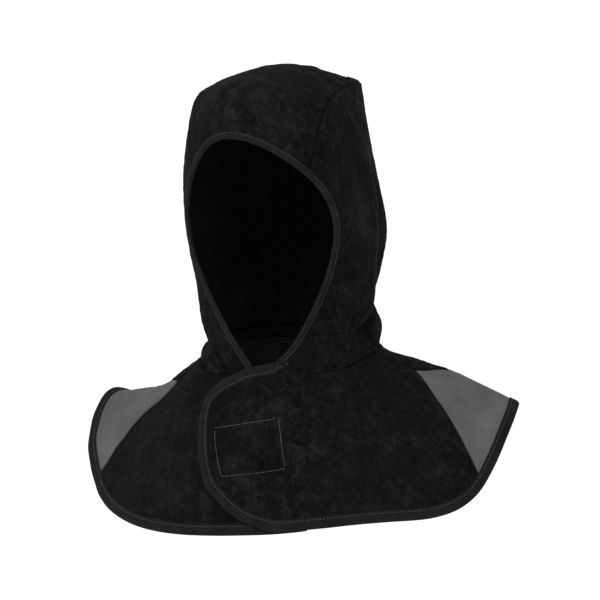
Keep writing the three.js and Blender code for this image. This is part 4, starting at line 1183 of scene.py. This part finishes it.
def cloth_material(name):
    m = Nodes(name)
    o, f = m.coords(), m.flat()
    xyz = m.new("ShaderNodeSeparateXYZ")
    m.link(f, xyz.inputs[0])
    u, w = xyz.outputs["X"], xyz.outputs["Y"]
    k = 2 * math.pi / 0.62
    warp = m.math("SINE", m.math("MULTIPLY", u, k))
    twill = m.math("SINE", m.math("MULTIPLY", m.math("ADD", u, w), k / 2))
    weave = m.math("ADD", m.math("MULTIPLY", warp, 0.4), m.math("MULTIPLY", twill, 0.6))
    slub = m.noise(m.mapped(f, (0.08, 1.6, 1)), 1.0, 3, 0.6)
    fuzz = m.noise(o, 900, 3, 0.6)
    cloud = m.noise(o, 30, 3, 0.55)
    tone = m.math("ADD", m.math("MULTIPLY", weave, 0.10), m.math("ADD", m.math("MULTIPLY", slub, 0.25), m.math("ADD", m.math("MULTIPLY", fuzz, 0.25), m.math("MULTIPLY", cloud, 0.5))))
    colour = m.ramp(tone, [(0.32, srgb(54, 53, 55)), (0.52, srgb(66, 65, 67)), (0.72, srgb(79, 78, 81))])
    m.link(colour, m.bsdf.inputs["Base Color"])
    m.link(m.remap(fuzz, 0.3, 0.7, 0.82, 0.96), m.bsdf.inputs["Roughness"])
    b = m.bump(m.math("ADD", weave, m.math("MULTIPLY", fuzz, 0.8)), 0.45, 0.00016)
    m.link(b, m.bsdf.inputs["Normal"])
    m.set(Specular_IOR_Level=0.1, Sheen_Weight=0.01, Sheen_Roughness=0.5)
    return m.mat


def thread_material(name, dark, light):
    m = Nodes(name)
    o, f = m.coords(), m.flat()
    xyz = m.new("ShaderNodeSeparateXYZ")
    m.link(f, xyz.inputs[0])
    twist = m.math("SINE", m.math("ADD", m.math("MULTIPLY", xyz.outputs["X"], 2 * math.pi / 0.5), m.math("MULTIPLY", xyz.outputs["Y"], 8)))
    fuzz = m.noise(o, 1500, 2, 0.6)
    tone = m.math("ADD", m.math("MULTIPLY", twist, 0.12), fuzz)
    colour = m.ramp(tone, [(0.3, srgb(*[dark] * 3)), (0.7, srgb(*[light] * 3))])
    m.link(colour, m.bsdf.inputs["Base Color"])
    m.link(m.remap(fuzz, 0.3, 0.7, 0.5, 0.7), m.bsdf.inputs["Roughness"])
    m.link(m.bump(tone, 0.4, 0.0001), m.bsdf.inputs["Normal"])
    m.set(Specular_IOR_Level=0.15)
    return m.mat


def pad_material(name):
    m = Nodes(name)
    o = m.coords()
    loop = m.noise(o, 1300, 3, 0.7, 1.5)
    cloud = m.noise(o, 120, 3, 0.5)
    tone = m.math("ADD", m.math("MULTIPLY", loop, 0.6), m.math("MULTIPLY", cloud, 0.4))
    m.link(m.ramp(tone, [(0.35, srgb(8, 8, 9)), (0.65, srgb(32, 32, 34))]), m.bsdf.inputs["Base Color"])
    m.link(m.remap(loop, 0.3, 0.7, 0.95, 0.75), m.bsdf.inputs["Roughness"])
    m.link(m.bump(loop, 0.8, 0.0006), m.bsdf.inputs["Normal"])
    m.set(Specular_IOR_Level=0.1, Sheen_Weight=0.02, Sheen_Roughness=0.4)
    return m.mat


hide = suede("suede")
woven = tape_material("woven_tape")
cotton = cloth_material("gusset_cotton")
yarn = thread_material("thread", 30, 56)
yarn_light = thread_material("closure_thread", 54, 88)
loop = pad_material("hook_and_loop")
for ob, mat, slot in (
    [(o, hide, "suede_leather") for o in (crown, side_left, side_right, front_left, front_right, back)]
    + [(o, cotton, "gusset_cloth") for o in (gusset_left, gusset_right)]
    + [(o, woven, "binding_tape") for o in (face, cape)]
    + [(threads[0], yarn, "binding_tape"), (threads[1], yarn, "binding_tape"), (threads[2], yarn_light, "binding_tape")]
    + [(pad_ob, loop, "hook_and_loop")]
):
    ob.data.materials.append(mat)
    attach(ob, "root")

# ==== stage, light and camera
AZIMUTH, ELEVATION, DISTANCE = 22.0, 4.5, 2.2
TARGET = np.array([0.0145, 0.0059, -0.202])
FLOOR = -0.95

me = bpy.data.meshes.new("floor")
R = 14.0
me.from_pydata([(-R, -R, FLOOR), (R, -R, FLOOR), (R, R, FLOOR), (-R, R, FLOOR)], [], [(0, 1, 2, 3)])
floor = bpy.data.objects.new("floor", me)
bpy.context.scene.collection.objects.link(floor)
fm = Nodes("pale_floor")
fm.set(Base_Color=(0.93, 0.93, 0.93, 1), Roughness=0.9, Specular_IOR_Level=0.0)
me.materials.append(fm.mat)

world = bpy.data.worlds.new("studio")
bpy.context.scene.world = world
world.use_nodes = True
bg = world.node_tree.nodes.get("Background") or world.node_tree.nodes.new("ShaderNodeBackground")
bg.inputs["Color"].default_value = (1, 1, 1, 1)
bg.inputs["Strength"].default_value = 1.12
out = world.node_tree.nodes.get("World Output") or world.node_tree.nodes.new("ShaderNodeOutputWorld")
world.node_tree.links.new(bg.outputs[0], out.inputs["Surface"])


def softbox(name, place, aim, size, power):
    light = bpy.data.lights.new(name, "AREA")
    light.shape = "RECTANGLE"
    light.size, light.size_y = size
    light.energy = power
    ob = bpy.data.objects.new(name, light)
    bpy.context.scene.collection.objects.link(ob)
    place, aim = np.array(place, float), np.array(aim, float)
    back_ = unit(place - aim)
    right = unit(np.cross((0, 0, 1), back_))
    up = np.cross(back_, right)
    from mathutils import Matrix
    m = np.eye(4)
    m[:3, 0], m[:3, 1], m[:3, 2], m[:3, 3] = right, up, back_, place
    ob.matrix_world = Matrix(m.tolist())
    return ob


softbox("key", (-0.9, -2.0, 1.3), (0, 0, -0.2), (1.4, 1.4), 60)
softbox("fill", (2.2, -1.2, 0.5), (0, 0, -0.2), (1.6, 1.6), 25)

a, e = math.radians(AZIMUTH), math.radians(ELEVATION)
away = np.array([math.sin(a) * math.cos(e), -math.cos(a) * math.cos(e), math.sin(e)])
cam = bpy.data.cameras.new("camera")
cam.sensor_width = 36.0
cam.lens = 36.0 * (DISTANCE * 1000 / 0.87) / 600
cam.clip_start, cam.clip_end = 0.05, 60
camera = bpy.data.objects.new("camera", cam)
bpy.context.scene.collection.objects.link(camera)
right = np.array([math.cos(a), math.sin(a), 0])
up = np.cross(away, right)
from mathutils import Matrix

m = np.eye(4)
m[:3, 0], m[:3, 1], m[:3, 2], m[:3, 3] = right, up, away, TARGET + away * DISTANCE
camera.matrix_world = Matrix(m.tolist())
bpy.context.scene.camera = camera
bpy.context.scene.view_settings.view_transform = "Standard"
bpy.context.scene.view_settings.look = "None"
bpy.context.scene.render.film_transparent = False

bpy.context.view_layer.update()
